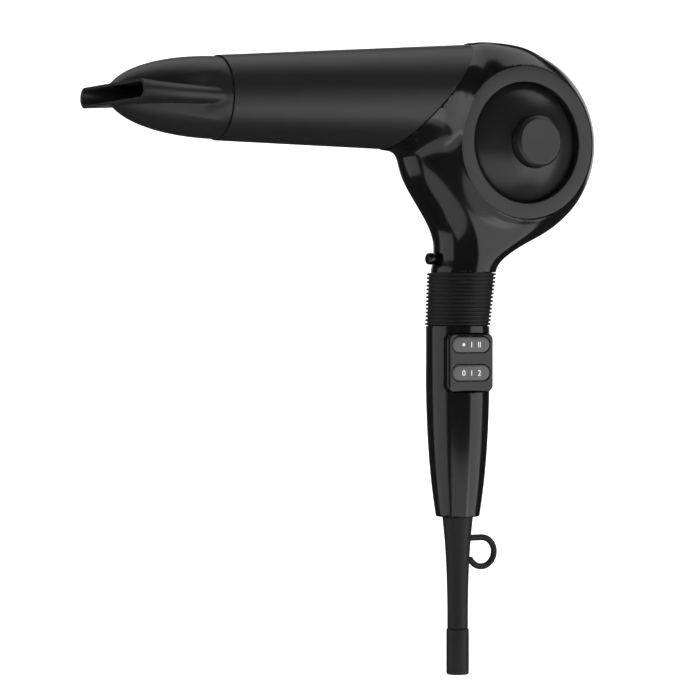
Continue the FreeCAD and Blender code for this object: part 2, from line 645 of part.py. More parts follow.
def barrel():
    tube = cone(BARREL_FRONT_X, CUT_TOP_X + 8, 0).cut(cone(BARREL_FRONT_X - 1, CUT_TOP_X + 9, -BARREL_WALL))
    tube = tube.cut(behind_cut(-FIT / 2))
    tail = cone(-78, CUT_TOP_X + 12, -SPIGOT_DEEP).cut(cone(-79, CUT_TOP_X + 13, -SPIGOT_DEEP - 1.6))
    tail = tail.cut(behind_cut(SPIGOT_BACK)).common(throat_form(WALL + FIT))
    seat = DRUM_HALF - WALL - FIT
    for y0 in (-seat - BIG, seat):
        tail = tail.cut(cyl_y(DRUM_X, DRUM_Z, SEAT_R + FIT, y0, y0 + BIG))
    body = fuse(tube, tail)
    lip = [e for e in body.Edges if abs(e.CenterOfMass.x - BARREL_FRONT_X) < 1e-6]
    return body.makeFillet(0.45, lip)


save("barrel", barrel())
GRILLE_X = BARREL_FRONT_X + SPIGOT_L + 3.0
CUP_DEEP = 3.0
CUP_WALL = 0.8


def outlet_grille():
    x0, x1 = GRILLE_X, GRILLE_X + 2.0
    out_r = barrel_r(x0) - BARREL_WALL - FIT
    z = barrel_z(x0)
    rings = [cyl_x(0, z, out_r, x0, x1).cut(cyl_x(0, z, out_r - 1.6, x0 - 1, x1 + 1))]
    for r in (6.0, 12.0, 17.0):
        rings.append(cyl_x(0, z, r + 0.5, x0, x1).cut(cyl_x(0, z, r - 0.5, x0 - 1, x1 + 1)))
    for k in range(3):
        bar = box(x0, x1, -out_r + 0.6, out_r - 0.6, z - 0.5, z + 0.5)
        bar.rotate(V(0, 0, z), X_AXIS, 60 * k)
        rings.append(bar)
    cup_in = BARREL_WALL + FIT
    cup = cone(x1 - 0.5, x1 + CUP_DEEP, -cup_in).cut(cone(x1 - 1, x1 + CUP_DEEP + 1, -cup_in - CUP_WALL))
    return fuse(*rings, cup)


save("outlet_grille", outlet_grille())
SHIELD_X0 = GRILLE_X + 2.2
SHIELD_X1 = -46.0
SHIELD_IN = SPIGOT_DEEP + 1.6 + FIT
save("heat_shield", cone(SHIELD_X0, SHIELD_X1, -SHIELD_IN).cut(cone(SHIELD_X0 - 1, SHIELD_X1 + 1, -SHIELD_IN - 0.8)))

BOARD_HALF = 13.0
BOARD_T = 0.6
COIL_WIRE_R = 0.45
HEAT_Z = (barrel_z(SHIELD_X0) + barrel_z(SHIELD_X1)) / 2
TAB_HALF = barrel_r(SHIELD_X0) - SHIELD_IN - 2.2
BOARD_X0, BOARD_X1 = SHIELD_X0 + 1.0, SHIELD_X1 - 1.0


def board(x0, x1, a0, a1):
    """Mica board in the upright plane: long body with wider tabs at both ends."""
    strip = box(x0, x1, -BOARD_T / 2, BOARD_T / 2, HEAT_Z + a0, HEAT_Z + a1)
    lo = TAB_HALF if a0 < 0 else 0
    front = box(x0, x0 + 4, -BOARD_T / 2, BOARD_T / 2, HEAT_Z - lo, HEAT_Z + TAB_HALF)
    back = box(x1 - 4, x1, -BOARD_T / 2, BOARD_T / 2, HEAT_Z - lo, HEAT_Z + TAB_HALF)
    return fuse(strip, front, back)


upright = board(BOARD_X0, BOARD_X1, -BOARD_HALF, BOARD_HALF)
level = upright.copy()
level.rotate(V(0, 0, HEAT_Z), X_AXIS, 90)
level = level.cut(box(-400, 400, -BOARD_T / 2 - 0.05, BOARD_T / 2 + 0.05, 0, 400))
save("mica_board_upright", upright)
save("mica_board_level", level)


def coil(x0, x1, turns):
    rings = []
    for k in range(turns):
        x = x0 + (x1 - x0) * k / (turns - 1)
        rings.append(Part.makeTorus(BOARD_HALF + COIL_WIRE_R + 0.02, COIL_WIRE_R, V(x, 0, HEAT_Z), X_AXIS))
    return rings


COIL_MID = (BOARD_X0 + BOARD_X1) / 2
save("heater_coil_front", *coil(BOARD_X0 + 8, COIL_MID - 3, 7))
save("heater_coil_rear", *coil(COIL_MID + 3, BOARD_X1 - 16, 6))
save("thermostat", box(BOARD_X1 - 14, BOARD_X1 - 5, BOARD_T / 2 + 0.02, BOARD_T / 2 + 4.5,
                       HEAT_Z + 2, HEAT_Z + 11))
save("thermal_fuse", cyl_x(-BOARD_T / 2 - 1.85, HEAT_Z + 7, 1.8, BOARD_X1 - 14, BOARD_X1 - 5))

# ---------------------------------------------------------------- nozzle
OGIVE_LEN = NOZZLE_LEN / 0.97
NOZZLE_BASE_R = BARREL_FRONT_R - NOZZLE_STEP
RING_THICK = 0.8
NOZZLE_SPIGOT_R = BARREL_FRONT_R - BARREL_WALL - RING_THICK - 2 * RUN - SLIDE


def ogive(inset):
    """Half of an egg shape: round at the barrel, closing towards the mouth."""
    long_r, base_r = OGIVE_LEN - inset, NOZZLE_BASE_R - inset
    x0, z = NOZZLE_BACK_X, NOZZLE_Z
    curve = Part.Ellipse(V(x0 - long_r, 0, z), V(x0, 0, z + base_r), V(x0, 0, z))
    arc = Part.ArcOfEllipse(curve, 0, math.pi / 2).toShape()
    tip, top = V(x0 - long_r, 0, z), V(x0, 0, z + base_r)
    if abs(arc.valueAt(arc.LastParameter).z - top.z) > 1e-3:
        arc = Part.ArcOfEllipse(curve, -math.pi / 2, 0).toShape()
    face = closed_face([arc, line(top, V(x0, 0, z)), line(V(x0, 0, z), tip)])
    egg = face.revolve(V(x0, 0, z), X_AXIS, 360)
    return egg.common(box(MOUTH_X, x0, -80, 80, z - 80, z + 80))


def fishtail(inset):
    """The wide flat snout, from the base out to the mouth."""
    shares = [(0.0, 0.99, 4.0), (0.35, 1.16, 4.2), (0.7, 1.53, 4.9), (1.0, None, None)]
    wires = []
    for t, wide, half_h in shares:
        x = NOZZLE_BACK_X - t * NOZZLE_LEN
        half_w = MOUTH_W / 2 if wide is None else NOZZLE_BASE_R * wide
        half_z = MOUTH_H / 2 if half_h is None else half_h
        wires.append(stadium_x(x, NOZZLE_Z, half_w - inset, half_z - inset))
    return Part.makeLoft(wires, True, False)


def nozzle():
    z = NOZZLE_Z
    outside = fuse(ogive(0), fishtail(0))
    inside = fuse(ogive(NOZZLE_WALL), fishtail(NOZZLE_WALL))
    open_end = stadium_x(MOUTH_X - 1, z, MOUTH_W / 2 - NOZZLE_WALL, MOUTH_H / 2 - NOZZLE_WALL)
    mouth = Part.Face(open_end).extrude(V(2.5, 0, 0))
    shell = outside.cut(inside).cut(mouth)
    back = NOZZLE_BACK_X
    bore = NOZZLE_SPIGOT_R - NOZZLE_WALL
    collar = cyl_x(0, z, NOZZLE_BASE_R, back - 2.0, back).cut(cyl_x(0, z, bore, back - 3, back + 1))
    spigot = cyl_x(0, z, NOZZLE_SPIGOT_R, back - 0.5, back + SPIGOT_L).cut(cyl_x(0, z, bore, back - 1, back + 20))
    lands = []
    for x in (back + 4.4, back + 10.6):
        land = cyl_x(0, z, NOZZLE_SPIGOT_R + 0.5, x, x + 1.2).cut(cyl_x(0, z, bore + 0.5, x - 1, x + 3))
        lands.append(land)
    return fuse(shell, collar, spigot, *lands)


save("nozzle", nozzle())
RING_X0 = NOZZLE_BACK_X + 5.6 + FIT
save("nozzle_ring", cyl_x(0, NOZZLE_Z, NOZZLE_SPIGOT_R + RUN + RING_THICK, RING_X0, RING_X0 + 4.8)
     .cut(cyl_x(0, NOZZLE_Z, NOZZLE_SPIGOT_R + RUN, RING_X0 - 1, RING_X0 + 6)))

# ---------------------------------------------------------------- grip sleeve
def sleeve_at(z, thick):
    t = (z - SLEEVE_Z0) / SLEEVE_H
    r = HANDLE_R - 0.55 + (NECK_BASE_R + 0.35 - HANDLE_R + 0.55) * t + thick
    return SLEEVE_LEAN * t, r


def ribbed_sleeve():
    wires = []
    for z in (SLEEVE_Z0 + 0.1, SLEEVE_Z1 - 0.1):
        x, r = sleeve_at(z, 0)
        wires.append(Part.Wire(Part.Circle(V(x, 0, z), Z_AXIS, r).toShape()))
    body = Part.makeLoft(wires, True, True)
    pitch = (SLEEVE_H - 0.2) / SLEEVE_RIBS
    ribs = []
    for k in range(SLEEVE_RIBS):
        z = SLEEVE_Z0 + 0.1 + k * pitch
        x, r = sleeve_at(z + pitch / 2, RIB_PROUD)
        rib = cyl_z(x, 0, r, z + 0.2 * pitch, z + 0.8 * pitch)
        ribs.append(rib.makeFillet(0.4, [e for e in rib.Edges if e.Length > 10]))
    low = Part.Wire(Part.Circle(V(0, 0, SLEEVE_Z0 - 1), Z_AXIS, HANDLE_R - SLEEVE_THICK + 0.04).toShape())
    high = Part.Wire(Part.Circle(V(SLEEVE_LEAN, 0, SLEEVE_Z1 + 1), Z_AXIS,
                                 NECK_BASE_R + 0.64 - SLEEVE_THICK).toShape())
    return fuse(body, *ribs).cut(Part.makeLoft([low, high], True, True))


save("ribbed_sleeve", ribbed_sleeve())

# ---------------------------------------------------------------- switches
PIVOT_Y = -PANEL_FACE + 2.6
PIN_R = 0.9
PILL_FACE_Y = -PANEL_FACE - 0.7


def switch_panel():
    block = panel_block(0)
    block = block.cut(box(-PANEL_W / 2 + PANEL_WALL, PANEL_W / 2 - PANEL_WALL, -PANEL_FACE + PANEL_WALL, 0,
                          PANEL_Z0 + PANEL_WALL, PANEL_Z1 - PANEL_WALL))
    webs = []
    for z in PILL_Z:
        for side in (-1, 1):
            edge = z + side * (PILL_H / 2 + SLIDE)
            lo, hi = min(edge, edge + side * 1.6), max(edge, edge + side * 1.6)
            webs.append(box(-2.6, 2.6, -PANEL_FACE + 1, PIVOT_Y + PIN_R + 1.2, lo, hi))
    block = fuse(block, *webs)
    for z in PILL_Z:
        block = block.cut(pill_y(0, z, PILL_W + 1.0, PILL_H + 2 * SLIDE, -PANEL_FACE - 5, 0))
        block = block.cut(cyl_z(0, PIVOT_Y, PIN_R + RUN, z - PILL_H / 2 - 1.6, z + PILL_H / 2 + 1.6))
    return block


def rocker(z):
    cap = pill_y(0, z, PILL_W, PILL_H, PILL_FACE_Y, -PANEL_FACE + 3.2)
    rim = [e for e in cap.Edges if abs(e.CenterOfMass.y - PILL_FACE_Y) < 1e-6]
    cap = cap.makeFillet(0.8, rim)
    pin = cyl_z(0, PIVOT_Y, PIN_R, z - PILL_H / 2 - 1.4, z + PILL_H / 2 + 1.4)
    stem = box(-2.0, 2.0, -PANEL_FACE + 2.5, -PANEL_FACE + 7.0, z - 2.5, z + 2.5)
    return fuse(cap, pin, stem)


def switch_body(z):
    half = PILL_TOP_GAP - PANEL_WALL - FIT
    return box(-8.5, 8.5, -PANEL_FACE + 7.9, -PANEL_FACE + 17.0, z - half, z + half)


save("switch_panel", switch_panel())
save("speed_rocker", rocker(PILL_Z[0]))
save("heat_rocker", rocker(PILL_Z[1]))
save("speed_switch", switch_body(PILL_Z[0]))
save("heat_switch", switch_body(PILL_Z[1]))

SHOT_TIP_X = SHOT_FRONT_X + 6.8
SHOT_SWITCH_X = SHOT_TIP_X + SHOT_TRAVEL + 0.2
FLANGE_X = SHOT_FRONT_X + WALL + 0.7


def cold_shot_plunger():
    head = cyl_x(0, SHOT_Z, SHOT_R, SHOT_FRONT_X - 6.4, SHOT_FRONT_X - 2.6)
    head = head.makeFillet(1.1, [e for e in head.Edges if e.Length > 10])
    stem = cyl_x(0, SHOT_Z, SHOT_R - 1.2, SHOT_FRONT_X - 3, SHOT_TIP_X)
    flange = cyl_x(0, SHOT_Z, SHOT_R + 0.4, FLANGE_X, FLANGE_X + 1.0)
    return fuse(head, stem, flange)


save("cold_shot_plunger", cold_shot_plunger())
save("cold_shot_switch", box(SHOT_SWITCH_X, SHOT_SWITCH_X + 8, -4, 4, SHOT_Z - 5, SHOT_Z + 5))
save("cold_shot_spring", spring(FLANGE_X + 1.4, 0, SHOT_Z, X_AXIS,
                                SHOT_SWITCH_X - FLANGE_X - 1.8, SHOT_R - 0.5, 0.25, 4))

# ---------------------------------------------------------------- cord end
def boot():
    top, low = BOOT_TOP_Z - 0.2, COLLAR_H
    tall = top - low
    pts = [V(BOOT_TOP_R - 0.4, 0, top), V(BOOT_TOP_R - 1.3, 0, top - 0.12 * tall),
           V(BOOT_TOP_R - 2.15, 0, top - 0.31 * tall), V(BOOT_FOOT_R + 0.62, 0, top - 0.58 * tall),
           V(BOOT_FOOT_R, 0, low)]
    face = closed_face([smooth(pts), line(pts[0], V(0, 0, top)), line(V(0, 0, top), V(0, 0, low)),
                        line(V(0, 0, low), pts[-1])])
    body = face.revolve(V(0, 0, 0), Z_AXIS, 360)
    spigot = cyl_z(0, 0, 5.0, low - 10, low + 1)
    neck = cyl_z(0, 0, FOOT_HOLE_R - FIT, top - 1, HANDLE_FOOT_Z + WALL + 1)
    flange = cyl_z(0, 0, FOOT_HOLE_R + 1.8, HANDLE_FOOT_Z + WALL + FIT, HANDLE_FOOT_Z + WALL + 2.6)
    bar = cyl_x(0, HOOK_Z + HOOK_R, HOOK_WIRE_R, 3.0, HOOK_X)
    disc = Part.Face(Part.Wire(Part.Circle(V(HOOK_X, 0, HOOK_Z + HOOK_R), X_AXIS, HOOK_WIRE_R).toShape()))
    hook = disc.revolve(V(HOOK_X, 0, HOOK_Z), Y_AXIS, HOOK_TURN)
    end = math.radians(90 - HOOK_TURN)
    tip = Part.makeSphere(HOOK_WIRE_R, V(HOOK_X + HOOK_R * math.cos(end), 0, HOOK_Z + HOOK_R * math.sin(end)))
    whole = fuse(body, spigot, neck, flange, bar, hook, tip)
    return whole.cut(cyl_z(0, 0, CORD_R, 0, HANDLE_FOOT_Z + 20))



def cord_collar():
    tube = cyl_z(0, 0, COLLAR_R, 0, COLLAR_H - 0.05)
    tube = tube.makeFillet(0.7, [e for e in tube.Edges if e.Length > 10])
    tube = tube.cut(cyl_z(0, 0, CORD_R, -1, COLLAR_H + 1))
    return tube.cut(cyl_z(0, 0, 5.0 + FIT / 2, COLLAR_H - 10.2, COLLAR_H + 1))


save("strain_relief_boot", boot())
save("cord_collar", cord_collar())
CLAMP_Z = HANDLE_FOOT_Z + 8.0
save("cord_clamp", box(-8, 8, 1.0, 5.0, CLAMP_Z, CLAMP_Z + 8).cut(cyl_z(0, 0, CORD_R, CLAMP_Z - 1, CLAMP_Z + 9)))
TERMINAL_Z = CLAMP_Z + 10.0
TERMINAL_H = 10.0
LEAD_R = 0.9
LEAD_SPOTS = (-7.5, -5.5, 6.5)
save("terminal_block", box(-8.6, 8.6, -4.5, 4.5, TERMINAL_Z, TERMINAL_Z + TERMINAL_H))
save("switch_leads", *[cyl_z(x, -3.2, LEAD_R, TERMINAL_Z + TERMINAL_H, PILL_Z[1] - 5.0) for x in LEAD_SPOTS])
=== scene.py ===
# %% [markdown]
# # A hair dryer with a side fan, cell by cell
# This lesson dresses a finished CAD model.  The CAD gives every size, axis and
# fit.  Here each visible skin is rebuilt as a clean mesh that can carry gloss,
# and each finish is mixed from nodes.  Nothing below moves a CAD part: a piece
# is made where the CAD says and then rides on the body that carries it.

# %% Load the frame
import json
import math

import bmesh
import bpy
import numpy as np
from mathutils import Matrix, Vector


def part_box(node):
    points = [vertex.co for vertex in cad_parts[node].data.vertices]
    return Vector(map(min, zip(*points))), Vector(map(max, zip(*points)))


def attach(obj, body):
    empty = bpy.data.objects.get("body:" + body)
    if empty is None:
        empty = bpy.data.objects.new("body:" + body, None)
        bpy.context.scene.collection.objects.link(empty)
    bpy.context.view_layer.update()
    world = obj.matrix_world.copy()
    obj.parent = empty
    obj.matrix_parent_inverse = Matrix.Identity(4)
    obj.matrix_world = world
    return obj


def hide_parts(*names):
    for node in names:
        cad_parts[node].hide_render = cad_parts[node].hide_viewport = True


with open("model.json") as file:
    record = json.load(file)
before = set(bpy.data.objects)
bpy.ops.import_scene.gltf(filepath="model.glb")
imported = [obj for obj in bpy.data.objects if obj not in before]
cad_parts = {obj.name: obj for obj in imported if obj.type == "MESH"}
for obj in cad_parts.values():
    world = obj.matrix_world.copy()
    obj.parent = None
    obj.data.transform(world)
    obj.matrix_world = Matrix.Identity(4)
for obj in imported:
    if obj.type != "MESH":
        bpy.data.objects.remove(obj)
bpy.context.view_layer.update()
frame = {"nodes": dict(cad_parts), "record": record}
MM = 0.001

# %% [markdown]
# ## Where things are
# A few boxes of the frame give the places that the pieces share: the axis of
# the fan, the slope of the barrel and the heights along the handle.  They are
# read from the CAD, so a new pack moves everything with it.

# %% Read the shared places
def span(node):
    """Lowest and highest corner of a CAD node, in millimetres."""
    low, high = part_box(node)
    return np.array(low) / MM, np.array(high) / MM


def middle(node):
    """Middle of a CAD node's box, in millimetres."""
    low, high = span(node)
    return (low + high) / 2


RING_LO, RING_HI = span("side_ring")
FAN_X, FAN_Z = middle("side_ring")[0], middle("side_ring")[2]
RING_R = (RING_HI[0] - RING_LO[0]) / 2
DRUM_HALF = -RING_LO[1]
HOUSING_LO, HOUSING_HI = span("housing_near")
DRUM_R = HOUSING_HI[0] - FAN_X
HANDLE_FOOT = HOUSING_LO[2]
SLEEVE_LO, SLEEVE_HI = span("ribbed_sleeve")
BARREL_FRONT_X = span("barrel")[0][0]
MOUTH_X = span("nozzle")[0][0]
SHOT_Z = middle("cold_shot_plunger")[2]
print("fan axis", round(FAN_X, 1), round(FAN_Z, 1), "drum radius", round(DRUM_R, 1))
print("handle foot", HANDLE_FOOT, "sleeve", SLEEVE_LO[2], SLEEVE_HI[2])

# %% [markdown]
# ## Shapes from a field
# The skins here are full, soft mouldings that run into each other.  Pulling
# such a skin out of a box by hand takes long, and lofted patches leave dents
# that gloss shows.  So each moulding is written as a field: a function that is
# negative inside the plastic, zero on its skin and positive outside.  Two
# fields join with a soft minimum, and one is cut from another with a maximum.

# %% Join and cut fields
def join(a, b, soft=0.0):
    """Union of two fields; soft is how wide the fillet between them is, in mm."""
    if soft <= 0:
        return np.minimum(a, b)
    near = np.maximum(soft - np.abs(a - b), 0) / soft
    return np.minimum(a, b) - near ** 3 * soft / 6


def cut(a, b, soft=0.0):
    """What is left of a after b is taken away."""
    return -join(-a, b, soft)


def both(a, b, soft=0.0):
    """Only where a and b are both solid."""
    return -join(-a, -b, soft)


def ease(t):
    """A smooth step from 0 to 1 while t goes from 0 to 1."""
    t = np.clip(t, 0, 1)
    return t * t * (3 - 2 * t)


def slab(x, centre, half):
    """Everything within half of the centre along one direction."""
    return np.abs(x - centre) - half


def rounded_box(offsets, halves, radius):
    """Distance to a box whose edges are rounded; offsets are from its middle."""
    over = [np.abs(o) - (h - radius) for o, h in zip(offsets, halves)]
    outside = np.sqrt(sum(np.maximum(q, 0) ** 2 for q in over))
    inner = over[0]
    for q in over[1:]:
        inner = np.maximum(inner, q)
    return outside + np.minimum(inner, 0) - radius


reading = rounded_box((10.0, 0.0, 0.0), (8.0, 4.0, 4.0), 1.0)
print("a point 2 mm outside a rounded box reads", round(float(reading), 2), "mm")

# %% [markdown]
# A field has a slope everywhere, and on the skin the slope is the direction
# the skin faces.  It is measured by stepping a little to each side.  The same
# slope can slide a point that is nearly on the skin until it truly is.

# %% Measure a field's slope and settle points on its skin
SLOPE_REACH = 0.02


def slopes(field, p, reach):
    """Unit slope of the field at each point, from a step of that reach along each axis."""
    out = []
    for axis in range(3):
        a, b = p.copy(), p.copy()
        a[:, axis] += reach
        b[:, axis] -= reach
        out.append(field(*a.T) - field(*b.T))
    slope = np.stack(out, 1)
    return slope / np.maximum(np.linalg.norm(slope, axis=1, keepdims=True), 1e-9)


def settle(field, p, step):
    """Slide points onto the skin along its slope, so that gloss shows no dents."""
    reach = step * SLOPE_REACH
    for _ in range(3):
        n = slopes(field, p, reach)
        rate = (field(*(p + n * reach).T) - field(*(p - n * reach).T)) / (2 * reach)
        move = field(*p.T) / np.maximum(rate, 0.3)
        p = p - n * np.clip(move, -0.5 * step, 0.5 * step)[:, None]
    return p


def ball(x, y, z):
    return np.sqrt(x ** 2 + y ** 2 + z ** 2) - 5.0


print("a point settles on a 5 mm ball at", settle(ball, np.array([[5.3, 0.0, 0.0]]), 1.0).round(3)[0])

# %% [markdown]
# A field becomes a mesh by dual contouring.  Space is cut into small cells.
# Every cell that the skin passes through gets one point, placed where the
# tangent planes of the skin meet, so flat stays flat and an edge stays crisp.
# Cells that share a crossed grid edge are joined by a four-sided face.  The
# usual marching cubes would be shorter, but it rounds every edge off.

# %% Find the skin inside the cells
PAIRS_OF_AXES = ((0, 0), (0, 1), (0, 2), (1, 1), (1, 2), (2, 2))
PULL_TO_MEAN = 0.08
EVEN_SLOPES = 0.985


def crossing(field, start, end, v0, v1):
    """The place on each grid edge where the field is zero, halved down in four steps."""
    t = (v0 / (v0 - v1))[:, None]
    lo_t, hi_t = np.zeros_like(t), np.ones_like(t)
    for _ in range(4):
        v = field(*(start + (end - start) * t).T)[:, None]
        same = (v < 0) == (v0 < 0)[:, None]
        lo_t, hi_t = np.where(same, t, lo_t), np.where(same, hi_t, t)
        t = (lo_t + hi_t) / 2
    return start + (end - start) * t


def plane_sums(p, n):
    """What each tangent plane adds to its cell: products, pull, place, count and slope."""
    products = n[:, [0, 0, 0, 1, 1, 2]] * n[:, [0, 1, 2, 1, 2, 2]]
    return np.concatenate([products, n * (n * p).sum(1, keepdims=True), p, np.ones((len(p), 1)), n], 1)


def meeting_points(s):
    """Where the tangent planes of each cell meet, pulled slightly to their mean place."""
    mean = (s[9:12] / s[12]).T
    m = np.empty((s.shape[1], 3, 3))
    for k, (i, j) in enumerate(PAIRS_OF_AXES):
        m[:, i, j] = m[:, j, i] = s[k]
    m += PULL_TO_MEAN * np.eye(3)
    return np.linalg.solve(m, (s[6:9].T + PULL_TO_MEAN * mean)[:, :, None])[:, :, 0]


def contour(field, low, high, step):
    """Corner points and four-sided faces of the skin where the field is zero.

    The third result tells which points lie on a smooth stretch, away from any edge.
    """
    low = np.array(low, float)
    count = np.ceil((np.array(high) - low) / step).astype(int) + 1
    axes = [low[i] + step * np.arange(count[i]) for i in range(3)]
    value = field(*np.meshgrid(*axes, indexing="ij"))
    inside = value < 0
    cells = count - 1
    total = int(np.prod(cells))
    sums = np.zeros((16, total))
    faces = []
    for a in range(3):
        b, c = (a + 1) % 3, (a + 2) % 3
        first = np.take(inside, range(cells[a]), a)
        crossed = np.argwhere(first != np.take(inside, range(1, count[a]), a))
        for side in (b, c):
            crossed = crossed[(crossed[:, side] > 0) & (crossed[:, side] < cells[side])]
        other = crossed.copy()
        other[:, a] += 1
        v0, v1 = value[tuple(crossed.T)], value[tuple(other.T)]
        p = crossing(field, low + crossed * step, low + other * step, v0, v1)
        row = plane_sums(p, slopes(field, p, step * SLOPE_REACH))
        ring = []
        for db, dc in ((0, 0), (-1, 0), (-1, -1), (0, -1)):
            cell = crossed.copy()
            cell[:, b] += db
            cell[:, c] += dc
            flat = np.ravel_multi_index(tuple(cell.T), cells)
            ring.append(flat)
            for k in range(16):
                sums[k] += np.bincount(flat, row[:, k], total)
        ring = np.stack(ring, 1)
        turned = v0 > 0
        ring[turned] = ring[turned][:, ::-1]
        faces.append(ring)
    used = np.flatnonzero(sums[12])
    s = sums[:, used]
    corner = low + np.array(np.unravel_index(used, cells)).T * step
    points = np.clip(meeting_points(s), corner - 0.1 * step, corner + 1.1 * step)
    even = np.linalg.norm(s[13:], axis=0) / s[12] > EVEN_SLOPES
    points[even] = settle(field, points[even], step)
    renumber = np.zeros(total, int)
    renumber[used] = np.arange(len(used))
    return points, renumber[np.concatenate(faces)], even


ball_points = contour(ball, (-6, -6, -6), (6, 6, 6), 1.0)[0]
print("a contoured ball has", len(ball_points), "points")

# %% [markdown]
# Points and faces become a mesh object here.  Blender would guess the shading
# direction of each corner from the faces round it, which leaves faint facets
# in gloss.  The field knows the true slope, so smooth stretches take that, and
# corners at a crisp edge keep Blender's own.

# %% Make a moulding from a field
def new_piece(name, points, faces, smooth_to=38):
    """Mesh object from points in mm; edges sharper than smooth_to degrees stay sharp."""
    mesh = bpy.data.meshes.new(name)
    mesh.from_pydata((np.asarray(points) * MM).tolist(), [], [list(map(int, f)) for f in faces])
    mesh.validate()
    piece = bpy.data.objects.new(name, mesh)
    bpy.context.scene.collection.objects.link(piece)
    mesh.shade_smooth()
    mesh.set_sharp_from_angle(angle=math.radians(smooth_to))
    return piece


def moulding(name, field, low, high, step, smooth_to=38):
    """Mesh object of the field's skin, shaded by the field's own slope."""
    points, faces, even = contour(field, low, high, step)
    print(f"{name}: {len(points)} points, {len(faces)} faces, cell {step} mm")
    piece = new_piece(name, points, faces, smooth_to)
    mesh = piece.data
    corner = np.empty(len(mesh.loops) * 3, np.float32)
    mesh.corner_normals.foreach_get("vector", corner)
    corner = corner.reshape(-1, 3)
    point_of = np.empty(len(mesh.loops), np.int32)
    mesh.loops.foreach_get("vertex_index", point_of)
    on_smooth = even[point_of]
    true = slopes(field, points, 0.05)[point_of[on_smooth]]
    agree = (true * corner[on_smooth]).sum(1) > 0.8
    picked = np.flatnonzero(on_smooth)[agree]
    corner[picked] = true[agree]
    mesh.normals_split_custom_set(corner.tolist())
    return piece


print("meshes are written in millimetres and stored in metres, scaled by", MM)

# %% [markdown]
# Turned parts such as rings, pins and collars need no field.  Their outline is
# a short list of corners, each with its own rounding, swept about an axis.

# %% Turn an outline about an axis
def rounded_outline(corners, bend=6):
    """Closed outline of (radius, along) corners; a third number rounds the corner."""
    out = []
    n = len(corners)
    for k in range(n):
        here = np.array(corners[k][:2], float)
        r = corners[k][2] if len(corners[k]) > 2 else 0
        if r <= 0:
            out.append(here)
            continue
        back = np.array(corners[k - 1][:2], float) - here
        on = np.array(corners[(k + 1) % n][:2], float) - here
        back /= np.linalg.norm(back)
        on /= np.linalg.norm(on)
        half = math.acos(np.clip(back @ on, -1, 1)) / 2
        reach = r / math.tan(half)
        a, b = here + back * reach, here + on * reach
        centre = here + (back + on) / np.linalg.norm(back + on) * r / math.sin(half)
        for i in range(bend + 1):
            mix = a + (b - a) * i / bend - centre
            out.append(centre + mix / np.linalg.norm(mix) * r)
    return np.array(out)


def turned(name, outline, centre, axis, segments=160, smooth_to=38):
    """Sweep a closed outline about axis 0, 1 or 2 through the centre."""
    angle = np.linspace(0, 2 * math.pi, segments, endpoint=False)
    b, c = (axis + 1) % 3, (axis + 2) % 3
    points = np.zeros((segments, len(outline), 3))
    points[:, :, axis] = outline[None, :, 1]
    points[:, :, b] = np.cos(angle)[:, None] * outline[None, :, 0]
    points[:, :, c] = np.sin(angle)[:, None] * outline[None, :, 0]
    points += np.array(centre)
    n = len(outline)
    i, j = np.meshgrid(np.arange(segments), np.arange(n), indexing="ij")
    i2, j2 = (i + 1) % segments, (j + 1) % n
    faces = np.stack([i * n + j, i2 * n + j, i2 * n + j2, i * n + j2], -1).reshape(-1, 4)
    after = np.roll(outline, -1, axis=0)
    if (outline[:, 0] * after[:, 1] - after[:, 0] * outline[:, 1]).sum() < 0:
        faces = faces[:, ::-1]
    print(f"{name}: {len(outline)} outline points swept in {segments} steps")
    return new_piece(name, points.reshape(-1, 3), faces, smooth_to)


# %% [markdown]
# ## Finishes
# Every finish is one Principled shader with a little life in it: a fine noise
# for the grain that the mould leaves, and a slow one that lets the roughness
# drift as it does on a handled surface.  A painted image could do the same,
# but it would need an unwrapped mesh, and nodes give the grain at its true size
# in millimetres.  Values that are the same all over sit on the shader itself.

# %% Mix a moulded or metal finish
DRIFT_SIZE = 26.0


